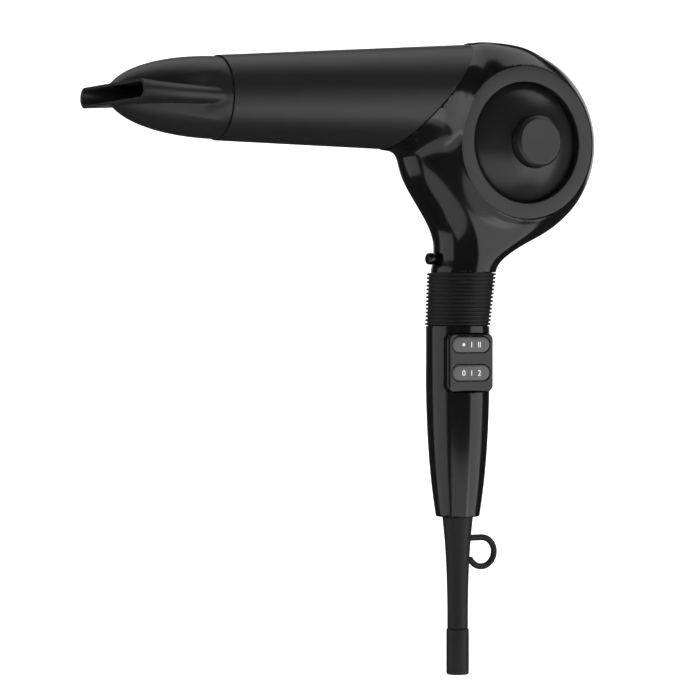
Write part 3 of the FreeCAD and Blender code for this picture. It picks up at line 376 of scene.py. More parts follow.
def finish(name, colour, rough, drift, grain, grain_depth, metal=0.0, tint=0.08,
           specular=0.5, stretch=(1, 1, 1)):
    """Node material; grain and grain_depth are the size and depth of the grain in mm."""
    mat = bpy.data.materials.new(name)
    mat.use_nodes = True
    nodes, links = mat.node_tree.nodes, mat.node_tree.links
    shader = nodes["Principled BSDF"]
    shader.inputs["Metallic"].default_value = metal
    shader.inputs["Specular IOR Level"].default_value = specular
    place = nodes.new("ShaderNodeTexCoord")
    scale = nodes.new("ShaderNodeMapping")
    scale.inputs["Scale"].default_value = stretch
    links.new(place.outputs["Object"], scale.inputs["Vector"])

    def noise(size_mm, detail):
        node = nodes.new("ShaderNodeTexNoise")
        node.inputs["Scale"].default_value = 1000.0 / size_mm
        node.inputs["Detail"].default_value = detail
        links.new(scale.outputs["Vector"], node.inputs["Vector"])
        return node

    slow = noise(DRIFT_SIZE, 3.0)
    to_rough = nodes.new("ShaderNodeMapRange")
    to_rough.inputs["To Min"].default_value = max(rough - drift, 0.02)
    to_rough.inputs["To Max"].default_value = rough + drift
    links.new(slow.outputs["Fac"], to_rough.inputs["Value"])
    links.new(to_rough.outputs["Result"], shader.inputs["Roughness"])
    ramp = nodes.new("ShaderNodeValToRGB")
    dark = [c * (1 - tint) for c in colour]
    light = [min(c * (1 + tint), 1.0) for c in colour]
    ramp.color_ramp.elements[0].color = (*dark, 1)
    ramp.color_ramp.elements[1].color = (*light, 1)
    ramp.color_ramp.elements[0].position = 0.3
    ramp.color_ramp.elements[1].position = 0.7
    speck = noise(grain, 2.0)
    links.new(speck.outputs["Fac"], ramp.inputs["Fac"])
    links.new(ramp.outputs["Color"], shader.inputs["Base Color"])
    if grain_depth:
        bump = nodes.new("ShaderNodeBump")
        bump.inputs["Strength"].default_value = 1.0
        bump.inputs["Distance"].default_value = grain_depth * MM
        links.new(speck.outputs["Fac"], bump.inputs["Height"])
        links.new(bump.outputs["Normal"], shader.inputs["Normal"])
    return mat


print("a drift in roughness is about", DRIFT_SIZE, "mm long")

# %% [markdown]
# The gloss and the matte black differ mostly in roughness, and both are much
# darker than they seem, because what is seen on them is the studio.  The metals
# are stretched along one direction where the real sheet is brushed or drawn.

# %% Mix every finish and give the CAD nodes theirs
FINISH = {
    "gloss_black": finish("gloss_black", (0.003, 0.003, 0.0032), 0.15, 0.03, 9.0, 0.0),
    "matte_black": finish("matte_black", (0.0075, 0.0075, 0.008), 0.40, 0.03, 0.35, 0.022),
    "satin_black": finish("satin_black", (0.0085, 0.0085, 0.009), 0.30, 0.03, 0.30, 0.012),
    "button_grey": finish("button_grey", (0.060, 0.060, 0.062), 0.38, 0.03, 0.30, 0.010),
    "black_rubber": finish("black_rubber", (0.006, 0.006, 0.0064), 0.52, 0.05, 0.28, 0.020, specular=0.32),
    "inner_plastic": finish("inner_plastic", (0.06, 0.06, 0.065), 0.50, 0.05, 0.5, 0.02),
    "white_nylon": finish("white_nylon", (0.62, 0.60, 0.56), 0.45, 0.05, 0.6, 0.02),
    "mica": finish("mica", (0.50, 0.40, 0.26), 0.40, 0.12, 1.6, 0.03, tint=0.35),
    "heater_wire": finish("heater_wire", (0.36, 0.32, 0.30), 0.40, 0.08, 0.4, 0.01, metal=1.0),
    "steel": finish("steel", (0.50, 0.50, 0.51), 0.30, 0.06, 0.3, 0.004, metal=1.0, stretch=(1, 8, 1)),
    "zinc_screw": finish("zinc_screw", (0.42, 0.42, 0.44), 0.35, 0.06, 0.5, 0.004, metal=1.0),
    "bronze": finish("bronze", (0.50, 0.33, 0.16), 0.45, 0.06, 0.3, 0.01, metal=1.0),
    "magnet": finish("magnet", (0.05, 0.05, 0.055), 0.60, 0.05, 0.4, 0.02, metal=0.4),
    "shield_steel": finish("shield_steel", (0.55, 0.55, 0.56), 0.32, 0.06, 0.6, 0.006, metal=1.0,
                           stretch=(8, 1, 1)),
    "mesh_steel": finish("mesh_steel", (0.33, 0.33, 0.34), 0.38, 0.06, 0.3, 0.004, metal=1.0),
    "white_print": finish("white_print", (0.72, 0.72, 0.72), 0.50, 0.03, 0.2, 0.003),
}
slot_of = {p["node"]: p["material_slot"] for p in frame["record"]["subparts"]}
for node, obj in frame["nodes"].items():
    mat = FINISH[slot_of[node]]
    for material_slot in obj.material_slots:
        material_slot.material = mat
print("finishes:", len(FINISH), "on", len(slot_of), "CAD nodes")

# %% [markdown]
# Every new piece is handed over the same way: it gets its finish, rides on
# the body that carries it and stands for the CAD nodes it covers.

# %% Hand a piece over
def dress(piece, mat, body, *nodes, slot=None):
    """Give a piece its finish, let it ride on its body and stand for CAD nodes."""
    piece.data.materials.clear()
    piece.data.materials.append(FINISH[mat])
    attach(piece, body)
    if nodes:
        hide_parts(*nodes)


# %% [markdown]
# ## The gloss housing
# On the real dryer two glossy half-shells meet on the middle plane.  They are
# the fan drum, the neck, the saddle under the barrel and the handle in one
# moulding, so all four forms are joined softly in one field.  A slanted plane
# ends the saddle where the barrel goes in.  The barrel's taper comes first,
# because the saddle follows it.

# %% Place the barrel and its slanted joint
BARREL_ROOT_R, BARREL_ROOT_Z = 30.8, 327.8
BARREL_FRONT_R = 23.4
BARREL_FRONT_Z = middle("nozzle_ring")[2]
CUT_TOP_X, CUT_LOW_X, CUT_LOW_Z = 5.4, -47.0, 298.0


def barrel_r(x):
    """The barrel's radius at a place along X."""
    return BARREL_ROOT_R + (BARREL_ROOT_R - BARREL_FRONT_R) * x / -BARREL_FRONT_X


def barrel_z(x):
    """The height of the barrel's axis at a place along X."""
    return BARREL_ROOT_Z + (BARREL_ROOT_Z - BARREL_FRONT_Z) * x / -BARREL_FRONT_X


CUT_TOP_Z = barrel_z(CUT_TOP_X) + barrel_r(CUT_TOP_X)
cut_run = np.array([CUT_TOP_X - CUT_LOW_X, CUT_TOP_Z - CUT_LOW_Z])
cut_run /= np.linalg.norm(cut_run)


def in_front_of_cut(x, z):
    """Positive in front of the slanted joint, negative behind it."""
    return -((x - CUT_LOW_X) * cut_run[1] - (z - CUT_LOW_Z) * cut_run[0])


print("barrel radius", BARREL_FRONT_R, "to", BARREL_ROOT_R, "mm")
print("slanted joint from Z", CUT_LOW_Z, "to", round(CUT_TOP_Z, 1))

# %% [markdown]
# Each form of the housing gets its own short field.  The drum bulges from its
# flat sides out to the middle plane, and the neck is a rounded slab whose front
# and back follow two smooth steps as it rises.  The handle's taper is a cubic,
# full at the top and quick at the foot.

# %% Write the drum, the neck, the saddle and the handle
WALL = 2.0
RIM_STEP = 0.3
HANDLE_R, HANDLE_FOOT_R = 18.3, 12.4
SLEEVE_FOOT, SLEEVE_TOP = SLEEVE_LO[2] - 0.1, SLEEVE_HI[2] + 0.1
SLEEVE_LEAN, SLEEVE_THICK = 2.6, 1.5
HANDLE_H = SLEEVE_FOOT - HANDLE_FOOT
NECK_BASE_R, NECK_FRONT_X, NECK_BACK_X = 18.6, -13.4, 22.6
NECK_FRONT_SWEEP, NECK_BACK_SWEEP, NECK_H = 23.2, 32.4, 74
THROAT_PROUD, THROAT_END_X = 0.6, 44
CORE_HALF_H = 17


def drum(x, y, z):
    """The fan drum: its rim bulges from the flat sides out to the middle plane."""
    rho = np.hypot(x - FAN_X, z - FAN_Z)
    aside = np.abs(y) / DRUM_HALF
    foot = RING_R + RIM_STEP
    rim = foot + (DRUM_R - RING_R - RIM_STEP) * (1 - (aside ** 2 + 0.004) ** 0.88)
    slope = both((rho - rim) * 0.80, rho - DRUM_R, 0)
    return both(slope, np.abs(y) - DRUM_HALF, 1.2)


def core(x, y, z, inset):
    """The plain bar under the rubber sleeve, which leans back a little."""
    t = (z - SLEEVE_FOOT) / (SLEEVE_TOP - SLEEVE_FOOT)
    radius = HANDLE_R + (NECK_BASE_R + 0.6 - HANDLE_R) * t - inset
    bar = np.hypot(x - SLEEVE_LEAN * t, y) - radius
    return np.maximum(bar, slab(z, (SLEEVE_FOOT + SLEEVE_TOP) / 2, CORE_HALF_H))


def neck(x, y, z):
    """A rounded slab; front, back and half thickness change with the rise above the sleeve."""
    rise = z - SLEEVE_TOP
    front = NECK_FRONT_X - NECK_FRONT_SWEEP * ease((rise - 14) / 50) - 1.6 * ease((9 - rise) / 9)
    back = NECK_BACK_X + NECK_BACK_SWEEP * ease(rise / 31)
    half = NECK_BASE_R - 0.6 * ease(rise / 30)
    middle_x = (front + back) / 2
    flat = np.maximum((back - front) / 2 - half, 0)
    side = np.hypot(np.maximum(np.abs(x - middle_x) - flat, 0), y) - half
    return np.maximum(side, z - (SLEEVE_TOP + NECK_H))


def throat(x, y, z):
    """The saddle: round at the joint, then narrower and fading into the drum behind it."""
    share = 1.0 - 0.42 * ease((x + 24) / 40)
    radius = barrel_r(x) + THROAT_PROUD - 8.0 * ease((x - 12) / 36)
    off = np.hypot(y / share, z - barrel_z(x)) - radius
    return both(off * share ** 0.5, x - THROAT_END_X, 16)


def handle(x, y, z):
    """The grip, which tapers to its foot."""
    t = np.clip((z - HANDLE_FOOT) / HANDLE_H, 0, 1)
    radius = HANDLE_R - (HANDLE_R - HANDLE_FOOT_R) * (1 - t) ** 3
    return np.hypot(x, y) - radius


def housing_skin(x, y, z):
    """All the forms joined, with wide soft fillets where they run into each other."""
    form = join(drum(x, y, z), neck(x, y, z), 16)
    form = join(form, throat(x, y, z), 14)
    form = both(form, SLEEVE_TOP - z, 0.8)
    grip = both(handle(x, y, z), z - SLEEVE_FOOT, 0.8)
    form = join(join(form, grip), core(x, y, z, SLEEVE_THICK + 0.15))
    return both(form, HANDLE_FOOT - z, 1.6)


print("handle", round(HANDLE_H, 1), "mm tall, drum", round(2 * DRUM_R, 1), "mm across")

# %% [markdown]
# The inside is the same form set in by the wall, so each half is a true shell
# of even thickness.  Openings are cut through it: the seat of the side ring,
# the air intake, the flat switch face, the cold-shot hole and the foot.  The
# joint between the halves is a fine groove on the middle plane.

# %% Cut the openings and mesh both halves
PANEL_LO, PANEL_HI = span("switch_panel")
PANEL_FACE = PANEL_LO[1]
SEAT_R = RING_R + 0.25
WINDOW_GAP, BLOCK_CORNER = 0.15, 4.0
INTAKE_R, SHOT_HOLE_R, FOOT_HOLE_R = 31.0, 3.9, 7.3
SCREW_WELL_R, SCREW_TUBE_R = 2.95, 4.3
SEAM_HALF = 0.07
SCREWS = [(0.0, HANDLE_FOOT + 0.42 * HANDLE_H), (8.0, SLEEVE_TOP + 20.9)]
for turn in (-28, 52):
    angle = math.radians(turn)
    reach = DRUM_R - WALL - 6.5
    SCREWS.append((FAN_X + reach * math.cos(angle), FAN_Z + reach * math.sin(angle)))


def opened(x, y, z):
    """The housing as a shell, with every opening cut through it."""
    rho = np.hypot(x - FAN_X, z - FAN_Z)
    skin = housing_skin(x, y, z)
    backing = np.maximum(rho - SEAT_R - 2.4, DRUM_HALF - WALL - np.abs(y))
    inside = cut(skin + WALL, backing)
    shell = cut(skin, inside)
    shell = cut(shell, np.maximum(rho - SEAT_R, y + 1), 0.5)
    shell = cut(shell, np.maximum(rho - INTAKE_R, 1 - y), 0.5)
    shell = cut(shell, np.maximum(rho - RING_R - RIM_STEP, DRUM_HALF - y), 0)
    shell = cut(shell, np.maximum(rho - RING_R - RIM_STEP, y + DRUM_HALF), 0)
    shell = both(shell, in_front_of_cut(x, z), 0.8)
    half_x, mid_z = PANEL_HI[0] + WINDOW_GAP, (PANEL_LO[2] + PANEL_HI[2]) / 2
    half_z = (PANEL_HI[2] - PANEL_LO[2]) / 2 + WINDOW_GAP
    window = rounded_box((x, z - mid_z), (half_x, half_z), BLOCK_CORNER + 0.1)
    shell = cut(shell, np.maximum(window, y + 7), 0.5)
    shell = cut(shell, np.maximum(np.hypot(y, z - SHOT_Z) - SHOT_HOLE_R, x), 0.6)
    shell = cut(shell, np.maximum(np.hypot(x, y) - FOOT_HOLE_R, z - HANDLE_FOOT - 8), 0.4)
    for sx, sz in SCREWS:
        well = np.maximum(np.hypot(x - sx, z - sz) - SCREW_WELL_R, 6 - y)
        tube = np.maximum(np.hypot(x - sx, z - sz) - SCREW_TUBE_R, np.maximum(skin, -y))
        shell = cut(join(shell, tube), well, 0.4)
    return shell


def near_half(x, y, z):
    return both(opened(x, y, z), y + SEAM_HALF, 0.35)


def far_half(x, y, z):
    return both(opened(x, y, z), SEAM_HALF - y, 0.35)


HOUSE_LOW = np.array([-66.0, 0.0, HANDLE_FOOT - 2.0])
HOUSE_HIGH = np.array([DRUM_R + FAN_X + 3.0, 0.0, 364.0])
CELL, OFF_PLANE = 1.0, 0.013  # OFF_PLANE keeps grid points from lying exactly on the seam
for side, half, y0, y1 in (("near", near_half, -37, 2), ("far", far_half, -2, 37)):
    low, high = HOUSE_LOW + (0, y0 + OFF_PLANE, 0), HOUSE_HIGH + (0, y1, 0)
    skin_piece = moulding(f"housing_{side}_skin", half, low, high, CELL)
    dress(skin_piece, "gloss_black", "body", f"housing_{side}")

# %% [markdown]
# ## The barrel
# The barrel is a thin tapered tube in a finely grained black.  It could be
# turned, but its axis tips a little and its back edge is cut on the same slant
# as the housing, so a field is shorter to write.  Its radius and height change
# with X.  A rounded lip stops the front edge from looking like paper, and a
# thinner tail goes on inside the housing, as the real tube's does.

# %% Mesh the barrel
BARREL_WALL, TAIL_STEP = 1.8, 1.5
TAIL_DEEP, TAIL_FRONT_X = 4.5, -78


def barrel_field(x, y, z):
    rho = np.hypot(y, z - barrel_z(x))
    tube = both(rho - barrel_r(x), barrel_r(x) - BARREL_WALL - rho, 0.0)
    tube = both(tube, BARREL_FRONT_X - x, 0.9)
    tube = both(tube, -in_front_of_cut(x, z) + 0.08, 0.8)
    tail = both(rho - barrel_r(x) + TAIL_STEP, barrel_r(x) - 3.1 - rho, 0.0)
    tail = both(tail, -in_front_of_cut(x, z) - TAIL_DEEP, 0.0)
    tail = both(tail, throat(x, y, z) + WALL + 0.15, 0.0)
    tail = both(tail, TAIL_FRONT_X - x, 0.0)
    return join(tube, tail, 0.3)


barrel_tube = moulding("barrel_tube", barrel_field, (BARREL_FRONT_X - 2, -34, 286), (16, 34, 364), CELL)
dress(barrel_tube, "matte_black", "body", "barrel")

# %% [markdown]
# ## The flat nozzle
# The nozzle is an egg that closes towards the front, with a wide flat snout
# growing out of both its sides.  Two fields again: a turned egg and a slot
# whose width opens like a fishtail.  A shallow scoop is pressed into the egg
# along each side, pointed in front and widening towards the back.  The snout
# stands out of it as a ridge, above one crisp edge and below another.

# %% Mesh the nozzle
NOZZLE_BACK = BARREL_FRONT_X - 0.3
NOZZLE_LEN = NOZZLE_BACK - MOUTH_X
NOZZLE_Z = BARREL_FRONT_Z
NOZZLE_BASE_R = BARREL_FRONT_R - 0.8
NOZZLE_WALL = 1.6
MOUTH_W, MOUTH_H = 86.6, 11.4
SNOUT_HALF_H = 4.6
SPIGOT_R, SPIGOT_L = 20.4, 14.0
SCOOP_HALF, SCOOP_NARROWS, SCOOP_DEEP = 14.5, 9.0, 2.7


def egg(x, y, z, inset):
    """The round form, from t of 0 at the barrel to 1 at the tip."""
    t = np.clip((NOZZLE_BACK - x) / (NOZZLE_LEN / 0.97 - inset), 0, 0.9999)
    radius = (NOZZLE_BASE_R - inset) * np.sqrt(1 - t * t)
    lean = 1 / np.sqrt(1 + (NOZZLE_BASE_R / NOZZLE_LEN * t) ** 2 / (1 - t * t + 0.02))
    across = np.abs(z - NOZZLE_Z) / (SCOOP_HALF - SCOOP_NARROWS * t)
    depth = SCOOP_DEEP * ease((0.66 - t) / 0.5) * ease((t - 0.01) / 0.24)
    scoop = depth * np.maximum(1 - across ** 2, 0)
    return (np.hypot(y, z - NOZZLE_Z) - radius + scoop) * lean


def snout(x, y, z, inset):
    """The flat form that opens towards the mouth."""
    t = np.clip((NOZZLE_BACK - x) / NOZZLE_LEN, 0, 1.05)
    half_w = NOZZLE_BASE_R * 0.99 + (MOUTH_W / 2 - NOZZLE_BASE_R * 0.99) * t ** 1.75
    half_h = SNOUT_HALF_H + (MOUTH_H / 2 - SNOUT_HALF_H) * t ** 2
    flat = half_w - half_h
    off = np.hypot(np.maximum(np.abs(y) - flat, 0), z - NOZZLE_Z) - half_h + inset
    return off * 0.82


def nozzle_field(x, y, z):
    outer = join(egg(x, y, z, 0), snout(x, y, z, 0), 1.4)
    inner = join(egg(x, y, z, NOZZLE_WALL), snout(x, y, z, NOZZLE_WALL), 1.4)
    inner = both(inner, x - NOZZLE_BACK + 2, 0)
    shell = both(outer, -inner, 0.0)
    shell = both(shell, MOUTH_X - x, 0.7)
    shell = both(shell, x - NOZZLE_BACK, 0.7)
    rho = np.hypot(y, z - NOZZLE_Z)
    bore = SPIGOT_R - NOZZLE_WALL - rho
    spigot = both(both(rho - SPIGOT_R, slab(x, NOZZLE_BACK + SPIGOT_L / 2 - 1, SPIGOT_L / 2 + 1)), bore)
    return both(join(shell, spigot, 0.3), np.where(x > NOZZLE_BACK - 2.2, bore, -9), 0)


NOZZLE_CELL = 0.8
nozzle_shell = moulding("nozzle_shell", nozzle_field, (MOUTH_X - 1.5, -45, NOZZLE_Z - 25),
                        (NOZZLE_BACK + SPIGOT_L + 2, 45, NOZZLE_Z + 25), NOZZLE_CELL, 34)
dress(nozzle_shell, "matte_black", "nozzle_body", "nozzle")

# %% [markdown]
# ## The round side disc
# A satin ring, a ball-shaped dome sunk inside it and a raised button make the
# side of the drum.  All three are turned parts, so their outlines are given as
# corners with a rounding at each one, and swept about the fan's axis.  The
# ring has a flat face, a lip that sits in the housing and a ledge that holds
# the dome.

# %% Turn the ring
FAN = (FAN_X, 0, FAN_Z)
RING_IN_R = 34.5
FACE_Y = -DRUM_HALF
LIP_Y, LEDGE_Y, RING_BACK_Y = FACE_Y + 3.4, FACE_Y + 7, FACE_Y + 8.4
ring_corners = [(RING_IN_R, FACE_Y, 0.7), (RING_R, FACE_Y, 0.5), (RING_R, LIP_Y, 0.2),
                (RING_IN_R + 2, LIP_Y), (RING_IN_R + 2, RING_BACK_Y), (RING_IN_R - 2.4, RING_BACK_Y),
                (RING_IN_R - 2.4, LEDGE_Y), (RING_IN_R, LEDGE_Y, 0.3)]
ring_face = turned("ring_face", rounded_outline(ring_corners), FAN, 1)
dress(ring_face, "satin_black", "body", "side_ring")

# %% [markdown]
# The dome is a slice of a large ball, so its outline is one arc out to the
# ring and a second one, set in by the wall, back to the button's hole.  The
# ball's size follows from how wide the dome is and how far it stands out.

# %% Turn the dome
DOME_R = RING_IN_R - 0.1
RECESS_Y = FACE_Y + 5.0
CROWN_Y = FACE_Y - 10.2
BALL_R = (DOME_R ** 2 + (RECESS_Y - CROWN_Y) ** 2) / (2 * (RECESS_Y - CROWN_Y))
BUTTON_R = 14.5
HOLE_R = BUTTON_R + 0.3


def ball_y(ball_r, rho):
    """How far along Y a ball about the dome's centre is, at that distance from the axis."""
    return CROWN_Y + BALL_R - math.sqrt(ball_r ** 2 - rho ** 2)


def dome_arc(shrink, start_r, end_r, steps=28):
    return [(r, ball_y(BALL_R - shrink, r)) for r in np.linspace(start_r, end_r, steps)]


dome_line = dome_arc(0, HOLE_R + 0.35, DOME_R - 0.1)
dome_line += [(DOME_R - 0.1, RECESS_Y + 1.9), (DOME_R - 3.3, RECESS_Y + 1.9)]
dome_line += dome_arc(2.0, DOME_R - 3.5, HOLE_R + 0.1)
dome_line += [(HOLE_R, ball_y(BALL_R, HOLE_R) + 0.35)]
dome_cap = turned("dome_cap", np.array(dome_line), FAN, 1)
dress(dome_cap, "satin_black", "body", "side_dome")
print("dome ball radius", round(BALL_R, 1))

# %% [markdown]
# The button is a shallow cup with a faintly hollow face.  A flange at its
# mouth keeps it behind the dome, and a stem in its middle meets the switch.

# %% Turn the centre button
BUTTON_LO, BUTTON_HI = span("centre_button")
BUTTON_FACE, STEM_Y = BUTTON_LO[1], BUTTON_HI[1]
FLANGE_Y, MOUTH_Y, CUP_Y = STEM_Y - 3.6, STEM_Y - 2.4, BUTTON_FACE + 2.2
button_corners = [(0.01, BUTTON_FACE + 0.25), (BUTTON_R - 5, BUTTON_FACE + 0.12, 2.0),
                  (BUTTON_R - 1.6, BUTTON_FACE, 0.8), (BUTTON_R, BUTTON_FACE + 1.2, 1.0),
                  (BUTTON_R, FLANGE_Y), (BUTTON_R + 1.5, FLANGE_Y), (BUTTON_R + 1.5, MOUTH_Y),
                  (BUTTON_R - 2, MOUTH_Y), (BUTTON_R - 2, CUP_Y), (2.5, CUP_Y),
                  (2.5, STEM_Y), (0.01, STEM_Y)]
button_cap = turned("button_cap", rounded_outline(button_corners), FAN, 1)
dress(button_cap, "satin_black", "disc_button", "centre_button")

# %% [markdown]
# ## The ribbed grip sleeve
# A soft sleeve with fourteen rings sits between the handle and the neck.  One
# rib is four corners, and a loop repeats it.  The sleeve leans back a little
# on its way up, so the turned mesh is sheared along X afterwards.

# %% Turn the sleeve and shear it
SLEEVE_RIBS, RIB_PROUD = 14, 0.85
pitch = (SLEEVE_HI[2] - SLEEVE_LO[2]) / SLEEVE_RIBS
sleeve_corners = [(HANDLE_R - 1.45, SLEEVE_HI[2]), (HANDLE_R - 1.45, SLEEVE_LO[2])]
for k in range(SLEEVE_RIBS):
    z = SLEEVE_LO[2] + k * pitch
    r = HANDLE_R - 0.85 + (NECK_BASE_R + 0.9 - HANDLE_R) * (k + 0.5) / SLEEVE_RIBS
    crest = r + RIB_PROUD + 0.3
    sleeve_corners += [(r, z + 0.20 * pitch, 0.12), (crest, z + 0.24 * pitch, 0.40),
                       (crest, z + 0.80 * pitch, 0.40), (r, z + 0.84 * pitch, 0.12)]
sleeve = turned("grip_sleeve", rounded_outline(sleeve_corners, 4), (0, 0, 0), 2, 144, 60)
for vertex in sleeve.data.vertices:
    rise = (vertex.co.z / MM - SLEEVE_FOOT) / (SLEEVE_TOP - SLEEVE_FOOT)
    vertex.co.x += SLEEVE_LEAN * rise * MM
dress(sleeve, "black_rubber", "body", "ribbed_sleeve")
print("sleeve ribs:", SLEEVE_RIBS, "pitch", round(pitch, 2), "mm")

# %% [markdown]
# ## The switch block
# A flat glossy block stands in a window of the handle.  It holds two rocker
# switches of the same pill shape.  The block and the rockers are small boxes
# with soft edges, so fields give them their rounding, and the windows in the
# block leave the dark gap round each rocker.

# %% Mesh the switch block
PILL_W, PILL_H = 24.4, 8.9
PILL_FACE = span("speed_rocker")[0][1]
PILLS = {"speed": middle("speed_rocker")[2], "heat": middle("heat_rocker")[2]}
BLOCK_MID_Z = (PANEL_LO[2] + PANEL_HI[2]) / 2
PILL_GAP = 0.40


def pill(x, z, mid_z, grow):
    """The rockers' outline, grown all round."""
    radius = PILL_H / 2 + grow
    over = np.maximum(np.abs(x) - (PILL_W - PILL_H) / 2, 0)
    return np.hypot(over, z - mid_z) - radius


def block_field(x, y, z):
    deep = y - (PANEL_FACE + 4.0)
    halves = (PANEL_HI[0], 4.0, (PANEL_HI[2] - PANEL_LO[2]) / 2)
    outline = rounded_box((x, z - BLOCK_MID_Z), (halves[0], halves[2]), BLOCK_CORNER)
    block = both(outline, slab(deep, 0, halves[1]), 2.2)
    hollow = rounded_box((x, deep - 3.0, z - BLOCK_MID_Z), (halves[0] - 2, 4.0, halves[2] - 2), 0.8)
    block = cut(block, hollow, 0)
    for mid_z in PILLS.values():
        block = cut(block, pill(x, z, mid_z, PILL_GAP), 0.5)
    return block


SMALL = 0.42
block = moulding("switch_block", block_field, (-16.1, PANEL_FACE - 1.1, PANEL_LO[2] - 1.3),
                 (16.1, PANEL_FACE + 9, PANEL_HI[2] + 1.3), SMALL)
dress(block, "gloss_black", "body", "switch_panel")

# %% [markdown]
# A rocker has a face that is a little crowned, a pin through it that it rocks
# on, and a stem that works the switch behind.  The crown is one small formula,
# which the printed marks use again.

# %% Mesh the rockers
def crown_y(x, z, mid_z):
    """Where the crowned face of a rocker lies along Y."""
    return PILL_FACE + 0.35 * (x / PILL_W * 2) ** 2 + 0.10 * ((z - mid_z) / PILL_H * 2) ** 2


for name, mid_z in PILLS.items():
    def rocker_field(x, y, z, mid_z=mid_z):
        cap = both(both(pill(x, z, mid_z, 0), crown_y(x, z, mid_z) - y, 1.5), y - PANEL_FACE - 3.2)
        stem = rounded_box((x, y - PANEL_FACE - 5, z - mid_z), (2.0, 2.0, 2.5), 0.3)
        pin = np.maximum(np.hypot(x, y - PANEL_FACE - 2.6) - 0.9, slab(z, mid_z, PILL_H / 2 + 1.4))
        return join(join(cap, stem), pin)

    rocker = moulding(name + "_rocker_cap", rocker_field, (-13.1, PILL_FACE - 0.9, mid_z - 6.9),
                      (13.1, PANEL_FACE + 8, mid_z + 6.9), SMALL)
    dress(rocker, "button_grey", name + "_button", name + "_rocker")

# %% [markdown]
# The marks on the rockers are printed, so they are as thin as paint.  Text
# turned into a mesh gives clean outlines, and each mark is set down on the
# crowned face by moving its points along Y.  The dot is a full stop from the
# same letters, which takes only a part of its line, so it is set larger.

# %% Print the marks
CAPITAL_SHARE, INK = 0.72, 0.04


def mark(name, letters, at_x, mid_z, height, body):
    curve = bpy.data.curves.new(name, "FONT")
    curve.body = letters
    curve.size = height / CAPITAL_SHARE * MM
    curve.align_x, curve.align_y = "CENTER", "CENTER"
    source = bpy.data.objects.new(name + "_text", curve)
    bpy.context.scene.collection.objects.link(source)
    bpy.context.view_layer.update()
    mesh = bpy.data.meshes.new_from_object(source.evaluated_get(bpy.context.evaluated_depsgraph_get()))
    bpy.data.objects.remove(source)
    low = np.array([v.co[:] for v in mesh.vertices])
    centre = (low.min(0) + low.max(0)) / 2
    for v in mesh.vertices:
        x, z = (v.co.x - centre[0]) / MM + at_x, (v.co.y - centre[1]) / MM + mid_z
        v.co = Vector((x, crown_y(x, z, mid_z) - INK, z)) * MM
    piece = bpy.data.objects.new(name, mesh)
    bpy.context.scene.collection.objects.link(piece)
    dress(piece, "white_print", body, slot="button_grey")


MARK_PITCH, MARK_H, DOT_LINE_H = 5.1, 3.3, 10.0
for k, letters in enumerate(("0", "1", "2")):
    mark(f"heat_mark_{k}", letters, (k - 1) * MARK_PITCH, PILLS["heat"], MARK_H, "heat_button")
for k, letters in enumerate((".", "I", "II")):
    height = MARK_H if k else DOT_LINE_H
    mark(f"speed_mark_{k}", letters, (k - 1) * MARK_PITCH, PILLS["speed"], height, "speed_button")
print("six marks,", MARK_PITCH, "mm apart on each rocker")

# %% [markdown]
# ## The cold-shot plunger
# A small round button on the front of the neck, under the barrel, which the
# thumb presses.  It is a turned part: head, stem and the flange that keeps it
# in the housing.  The same corner list as for the rings does it.

# %% Turn the plunger
SHOT_LO, SHOT_HI = span("cold_shot_plunger")
SHOT_R = 3.4
SHOT_STEM_R, SHOT_FLANGE_R = SHOT_R - 1.2, SHOT_R + 0.4
HEAD_X, SHOT_END_X = SHOT_LO[0], SHOT_HI[0]
FLANGE_X = -10.9
shot_corners = [(0.01, HEAD_X), (SHOT_R, HEAD_X, 1.3), (SHOT_R, HEAD_X + 3.8, 0.7),
                (SHOT_STEM_R, HEAD_X + 3.8, 0.3), (SHOT_STEM_R, FLANGE_X), (SHOT_FLANGE_R, FLANGE_X),
                (SHOT_FLANGE_R, FLANGE_X + 1), (SHOT_STEM_R, FLANGE_X + 1),
                (SHOT_STEM_R, SHOT_END_X), (0.01, SHOT_END_X)]
shot = turned("shot_plunger", rounded_outline(shot_corners), (0, 0, SHOT_Z), 0, 72)
dress(shot, "gloss_black", "cold_shot", "cold_shot_plunger")

# %% [markdown]
# ## The cord boot, its hook and the collar
# The flexible boot tapers from the handle's foot to the cord, and a hook for
# hanging the dryer up grows out of its side.  Boot and hook are one moulding,
# so a field joins a turned form, a straight bar and three quarters of a ring.

# %% Mesh the boot with its hook
BOOT_TOP_R, BOOT_FOOT_R = 9.2, 5.9
COLLAR_R, COLLAR_H, CORD_R = 6.45, 26.2, 3.5
HOOK_R, HOOK_X, HOOK_WIRE_R, HOOK_TURN = 8.3, 15.7, 1.75, 239.0
HOOK_Z = HANDLE_FOOT - 12.6 - HOOK_R
BOOT_TOP_Z = HANDLE_FOOT - 0.2
BOOT_H = BOOT_TOP_Z - COLLAR_H


